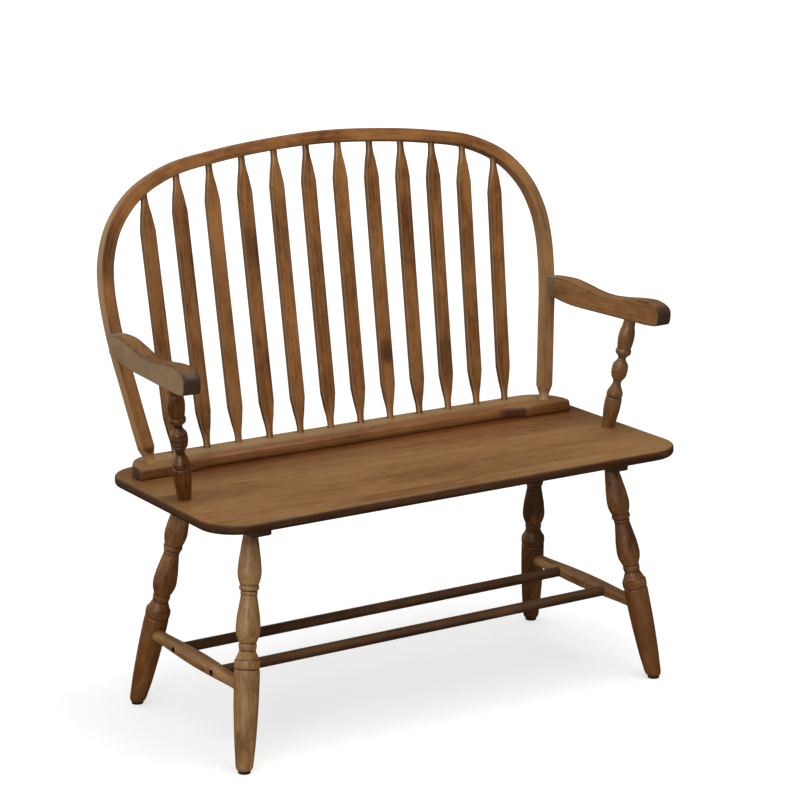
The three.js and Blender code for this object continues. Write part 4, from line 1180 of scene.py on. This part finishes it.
def makeGlide(side, sideName, end, look):
    low, high = legEnds(side, end)
    centre = low.lerp(high, look["height"] / legs["top"])
    foot = Vector((centre.x, centre.y, 0))
    top = foot + Vector((0, 0, look["height"]))
    mesh = turnedPiece(f"glideMesh{end}{sideName}", look["turning"], foot, top, look["sides"])
    return fitPiece(f"glide{end}{sideName}", mesh, [f"glide_{end.lower()}_{sideName.lower()}"],
                    glideFinish, grainFrame(foot, top), look, look["seed"])


corners = [(side, sideName, end) for side, sideName in sides for end in ends]
for cornerNumber, corner in enumerate(corners):
    makeLeg(*corner, legs, legs["seed"] + cornerNumber)
    makeGlide(*corner, glides)
print("legs and glides made")

# stretchers

stretchers = {
    "height": 142.3, "radius": 14.8, "sides": 40, "step": 3, "holeRadius": 4.9, "holeDepth": 6,
    "holeSides": 28, "holeEdge": 0.1, "seed": 120, "tone": 0.05,
    "edgeRange": (0.3, 1.2), "grooveRange": (0.3, 1.2),
    # share of the length between the legs' middles, share of the widest radius
    "swell": [(0.03, 0.79), (0.12, 0.79), (0.25, 0.88), (0.38, 0.97), (0.5, 1), (0.62, 0.97),
              (0.75, 0.88), (0.88, 0.79), (0.97, 0.79)],
}
rods = {
    "radius": 9.8, "spread": {"Front": -71, "Back": 71}, "inStretcher": 4, "sides": 32,
    "step": 40, "seed": 130,
    # painted shade underneath, a painted highlight on top, and darker to the left
    "underShade": (0.6, 0.35, -0.35), "topHighlight": (0.4, 0.1, 0.8),
    "leftShade": {"Front": 0.0, "Back": 0.5}, "leftFade": (100, -150),
    "edgeRange": (0.5, 1.5),
}


def onLeg(side, end, height):
    low, high = legEnds(side, end)
    return low.lerp(high, height / legs["top"])


def rodPlace(end):
    front, back = onLeg(1, "Front", stretchers["height"]), onLeg(1, "Back", stretchers["height"])
    middle = front.lerp(back, 0.5)
    return middle.x, middle.y + rods["spread"][end]


def cutBy(mesh, plugMesh):
    # the mesh that is left when a plug is cut out of it
    piece, plug = placed("blank", mesh), placed("plug", plugMesh)
    tool = piece.modifiers.new("cut", "BOOLEAN")
    tool.operation, tool.solver, tool.object = "DIFFERENCE", "EXACT", plug
    bpy.context.view_layer.update()
    done = piece.evaluated_get(bpy.context.evaluated_depsgraph_get())
    left = bpy.data.meshes.new_from_object(done)
    for thing in (piece, plug):
        bpy.data.objects.remove(thing)
    return left


def makeSideStretcher(side, sideName, look):
    front, back = onLeg(side, "Front", look["height"]), onLeg(side, "Back", look["height"])
    length = (back - front).length
    profile = [(share * length, width * look["radius"]) for share, width in look["swell"]]
    mesh = turnedPiece(f"sideStretcherMesh{sideName}", fairRows(profile, look["step"]), front, back,
                       look["sides"])
    radius, depth = look["holeRadius"], look["holeDepth"]
    holes = []
    for end in ends:
        x, y = rodPlace(end)
        outer = x + look["radius"]
        start = Vector((side * (outer - depth), y, look["height"]))
        finish = Vector((side * (outer + depth), y, look["height"]))
        plug = turnedPiece("plugMesh", [(0, radius), (2 * depth, radius)], start, finish,
                           look["holeSides"])
        mesh = cutBy(mesh, plug)
        holes.append(start)

    def holeShade(places, normals):
        # painted shade: the screw holes are darkened
        most = np.zeros(len(places))
        for start in holes:
            away = np.hypot(places[:, 1] - start.y, places[:, 2] - start.z)
            most = np.maximum(most, (away < radius + look["holeEdge"]) * (places[:, 0] * side > 0))
        return most

    return fitPiece(f"sideStretcher{sideName}", mesh, [f"side_stretcher_{sideName.lower()}"],
                    stretcherFinish, grainFrame(front, back), look, look["seed"] + side,
                    tone=look["tone"], darker=holeShade)


def makeRod(end, look, seed):
    x, y = rodPlace(end)
    reach = x - stretchers["radius"] + look["inStretcher"]
    low = Vector((-reach, y, stretchers["height"]))
    high = Vector((reach, y, stretchers["height"]))
    rows = fairRows([(0, look["radius"]), (2 * reach, look["radius"])], look["step"])
    mesh = turnedPiece(f"rodMesh{end}", rows, low, high, look["sides"])

    def leftShade(places):
        return look["leftShade"][end] * smooth(*look["leftFade"], places[:, 0])

    def shaded(places, normals):
        # painted shade underneath, and darker towards the left on the back rod
        return np.maximum(faded(normals[:, 2], *look["underShade"]), leftShade(places))

    def topLight(places, normals):
        # painted highlight along the top, less where the back rod is dark
        return faded(normals[:, 2], *look["topHighlight"]) * (1 - 2 * leftShade(places))

    return fitPiece(f"longRod{end}", mesh, [f"long_stretcher_{end.lower()}"], rodFinish,
                    grainFrame(low, high), look, seed, darker=shaded, wash=topLight)


for sideSign, sideWord in sides:
    makeSideStretcher(sideSign, sideWord, stretchers)
for endNumber, endWord in enumerate(ends):
    makeRod(endWord, rods, rods["seed"] + endNumber)

# cleats stay as the frame has them, with their leg holes and screw holes
for sideSign, sideWord in sides:
    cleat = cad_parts[f"cleat_{sideWord.lower()}"]
    cleat.data.materials.clear()
    cleat.data.materials.append(cleatFinish)
print("stretchers, rods and cleats made")

# screws

screws = {
    "headRadius": 4.2, "headHeight": 3, "shankRadius": 2.1, "edge": 0.5, "sides": 28,
    "pointLength": 3, "pointRadius": 0.4, "creaseDegrees": 30,
    "recessLong": 2.5, "recessWide": 0.55, "recessDepth": 1.6, "recessTaper": 0.45,
    "rodLength": 34, "rodSink": 6, "armLength": 44, "armSink": 5, "armRise": 0.6,
    "cleatLength": 34, "cleatSink": 4, "cleatY": (-64, 40), "cleatThickness": 27.5,
    "railLength": 26, "railSink": 3, "railSetback": 35, "railPlaces": (-4, -2, 0, 2, 4),
}


def crossPlug(look):
    # tapered cross that cuts the drive recess
    long, wide, deep = look["recessLong"], look["recessWide"], look["recessDepth"]
    shape = [(long, wide), (wide, wide), (wide, long), (-wide, long), (-wide, wide), (-long, wide),
             (-long, -wide), (-wide, -wide), (-wide, -long), (wide, -long), (wide, -wide),
             (long, -wide)]
    rings = []
    for height, scale in ((-1, 1.0), (0, 1.0), (deep, look["recessTaper"])):
        rings.append([Vector((x * scale, y * scale, height)) for x, y in shape])
    return skinned("crossPlugMesh", rings)


def screwMesh(name, length, look):
    # head at the origin, shank along +Z
    head, edge, top = look["headRadius"], look["edge"], look["headHeight"]
    shank = look["shankRadius"]
    rows = [(0, head - edge), (edge * 0.3, head - edge * 0.3), (edge, head), (top - edge, head),
            (top, head - edge), (top + 0.01, shank), (length - look["pointLength"], shank),
            (length, look["pointRadius"])]
    blank = turnedPiece(name, rows, Vector((0, 0, 0)), Vector((0, 0, length)), look["sides"])
    made = cutBy(blank, crossPlug(look))
    made.materials.clear()
    made.materials.append(screwFinish)
    made.shade_smooth()
    made.set_sharp_from_angle(angle=math.radians(look["creaseDegrees"]))
    return made


def driveScrew(name, node, mesh, head, towards):
    piece = placed(name, mesh)
    turn = Vector((0, 0, 1)).rotation_difference((towards - head).normalized()).to_matrix().to_4x4()
    piece.matrix_world = Matrix.Translation(shopToFrame + head * mm) @ turn @ Matrix.Scale(mm, 4)
    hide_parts(node)
    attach(piece, "root")


def driveScrews(look):
    rodScrew, armScrew, cleatScrew, railScrew = (
        screwMesh(f"{kind}ScrewMesh", look[f"{kind}Length"], look)
        for kind in ("rod", "arm", "cleat", "rail"))
    seatUnder = seatBoard["top"] - seatBoard["thickness"]
    up = Vector((0, 0, 1))
    for side, sideName in sides:
        small = sideName.lower()
        for end in ends:
            x, y = rodPlace(end)
            head = Vector((side * (x + stretchers["radius"] - look["rodSink"]), y, stretchers["height"]))
            driveScrew(f"rodScrew{end}{sideName}", f"stretcher_screw_{end.lower()}_{small}", rodScrew,
                       head, head - Vector((side, 0, 0)))
        tip = Vector((side * arms["tip"][0], arms["tip"][1], arms["underside"]))
        back = Vector((side * arms["backX"], armBackY, arms["underside"]))
        along = (tip - back).normalized()
        head = back + Vector((0, 0, arms["rise"] * look["armRise"]))
        head -= along * (bow["depth"] - look["armSink"])
        driveScrew(f"armScrew{sideName}", f"arm_screw_{small}", armScrew, head, head + along)
        under = seatUnder - look["cleatThickness"] - arms["fitGap"] + look["cleatSink"]
        for end, y in zip(ends, look["cleatY"]):
            head = Vector((side * legs["topX"], y, under))
            driveScrew(f"cleatScrew{end}{sideName}", f"cleat_screw_{small}_{end.lower()}", cleatScrew,
                       head, head + up)
    for i, place in enumerate(look["railPlaces"]):
        head = Vector((place * spindles["pitchLow"], backRail["back"] - look["railSetback"],
                       seatUnder + look["railSink"]))
        driveScrew(f"railScrew{i + 1}", f"rail_screw_{i + 1}", railScrew, head, head + up)


driveScrews(screws)
print("screws driven")

# studio

studio = {
    "floorRadii": (0.5, 34), "floorSides": 96, "floorColour": (222, 222, 222),
    "floorInGloss": (96, 76, 52),
    "windowSide": (-0.6, 0.8, 0), "windowFrom": 1.3, "windowTo": 3.3, "window": 0.6,
    "glossColour": (255, 230, 190), "nearLift": 0.56, "farLift": 0.9,
    "liftFrom": 1.2, "liftTo": 5.0,
    # soft sky for matt light, and another for what the gloss reflects: darkest, brightest, the way
    # it brightens
    "sky": (0.28, 0.7, (-0.8, -0.3, 0.5)), "gloss": (0.08, 1.0, (-0.9, 0.35, 0.2)),
    "skyTurn": (-0.5, 0.8),
}


def makeFloor(look):
    count = look["floorSides"]
    turns = [2 * math.pi * i / count for i in range(count)]
    verts = [(r * math.cos(a), r * math.sin(a), 0) for r in look["floorRadii"] for a in turns]
    faces = [tuple(range(count))]
    faces += [(i, count + i, count + (i + 1) % count, (i + 1) % count) for i in range(count)]
    mesh = meshFrom("floorMesh", verts, faces)
    material, tree = newTree("paperFloor")
    matt = wire(tree, "ShaderNodeBsdfDiffuse", None, {"Color": stain(*look["floorColour"])})
    place = wire(tree, "ShaderNodeTexCoord").outputs["Object"]
    away = wire(tree, "ShaderNodeVectorMath", {"operation": "LENGTH"}, {0: place}).outputs["Value"]
    level = ranged(tree, away, look["liftFrom"], look["liftTo"], look["nearLift"], look["farLift"])
    lift = wire(tree, "ShaderNodeEmission", None, {"Color": (1, 1, 1, 1), "Strength": level})
    lifted = wire(tree, "ShaderNodeAddShader", None, {0: matt.outputs[0], 1: lift.outputs[0]})
    ray = wire(tree, "ShaderNodeLightPath")
    shader = wire(tree, "ShaderNodeMixShader", None,
                  {0: ray.outputs["Is Camera Ray"], 1: matt.outputs[0], 2: lifted.outputs[0]})
    # the gloss of the wood reflects a dimmer floor, so the dark stains keep their depth; only the
    # left flanks catch light, from a bright stretch at the back left
    dim = wire(tree, "ShaderNodeBsdfDiffuse", None, {"Color": stain(*look["floorInGloss"])})
    behind = vectorMaths(tree, "DOT_PRODUCT", place, look["windowSide"])
    glow = wire(tree, "ShaderNodeEmission", None,
                {"Color": stain(*look["glossColour"]),
                 "Strength": ranged(tree, behind, look["windowFrom"], look["windowTo"], 0,
                                    look["window"])})
    dim = wire(tree, "ShaderNodeAddShader", None, {0: dim.outputs[0], 1: glow.outputs[0]})
    shader = wire(tree, "ShaderNodeMixShader", None,
                  {0: ray.outputs["Is Glossy Ray"], 1: shader.outputs[0], 2: dim.outputs[0]})
    closeTree(tree, shader.outputs[0])
    mesh.materials.append(material)
    floor = placed("paperFloor", mesh)


makeFloor(studio)


def makeSky(look):
    world = bpy.data.worlds.new("studioSky")
    bpy.context.scene.world = world
    world.use_nodes = True
    tree = world.node_tree
    tree.nodes.clear()
    ray = wire(tree, "ShaderNodeLightPath")
    seen = maths(tree, "MAXIMUM", ray.outputs["Is Camera Ray"], ray.outputs["Is Transmission Ray"])
    way = wire(tree, "ShaderNodeTexCoord").outputs["Generated"]
    levels = []
    for least, most, side in (look["sky"], look["gloss"]):
        towards = vectorMaths(tree, "DOT_PRODUCT", way, side)
        levels.append(ranged(tree, towards, *look["skyTurn"], least, most))
    level = wire(tree, "ShaderNodeMix", {"data_type": "FLOAT"},
                 {0: ray.outputs["Is Glossy Ray"], 2: levels[0], 3: levels[1]}).outputs[0]
    cast = wire(tree, "ShaderNodeMix", {"data_type": "RGBA"},
                {0: ray.outputs["Is Glossy Ray"], 6: (1, 1, 1, 1), 7: stain(*look["glossColour"])})
    soft = wire(tree, "ShaderNodeBackground", None, {"Color": cast.outputs[2], "Strength": level})
    white = wire(tree, "ShaderNodeBackground", None, {"Color": (1, 1, 1, 1), "Strength": 1.0})
    shader = wire(tree, "ShaderNodeMixShader", None, {0: seen, 1: soft.outputs[0], 2: white.outputs[0]})
    wire(tree, "ShaderNodeOutputWorld", None, {"Surface": shader.outputs[0]})


makeSky(studio)

lamps = {
    "overhead": {"place": (0.3, -0.45, 2.7), "aim": (0.0, 0.0, 0.4), "size": (1.5, 1.1), "watts": 26},
    "leftFront": {"place": (-3.2, -2.6, 1.7), "aim": (0.0, 0.0, 0.5), "size": (1.8, 1.8), "watts": 30},
}


def turnTo(thing, place, aim):
    thing.location = place
    thing.rotation_euler = (aim - place).to_track_quat("-Z", "Y").to_euler()


def hangLamp(name, look):
    data = bpy.data.lights.new(name, "AREA")
    data.shape = "RECTANGLE"
    data.size, data.size_y = look["size"]
    data.energy = look["watts"]
    turnTo(placed(name, data), Vector(look["place"]), Vector(look["aim"]))


for lampName, lampLook in lamps.items():
    hangLamp(lampName, lampLook)

camera = {"place": (-2539.63, -3988.22, 1754.35), "aim": (39.95, 58.61, 540.88), "lens": 120.729,
          "sensorWidth": 36}


def setCamera(look):
    data = bpy.data.cameras.new("photoCamera")
    data.lens, data.sensor_width = look["lens"], look["sensorWidth"]
    eye = placed("photoCamera", data)
    turnTo(eye, *(Vector(look[key]) * mm + shopToFrame for key in ("place", "aim")))
    bpy.context.scene.camera = eye


setCamera(camera)
bpy.context.scene.view_settings.view_transform = "Standard"
print("studio lit")
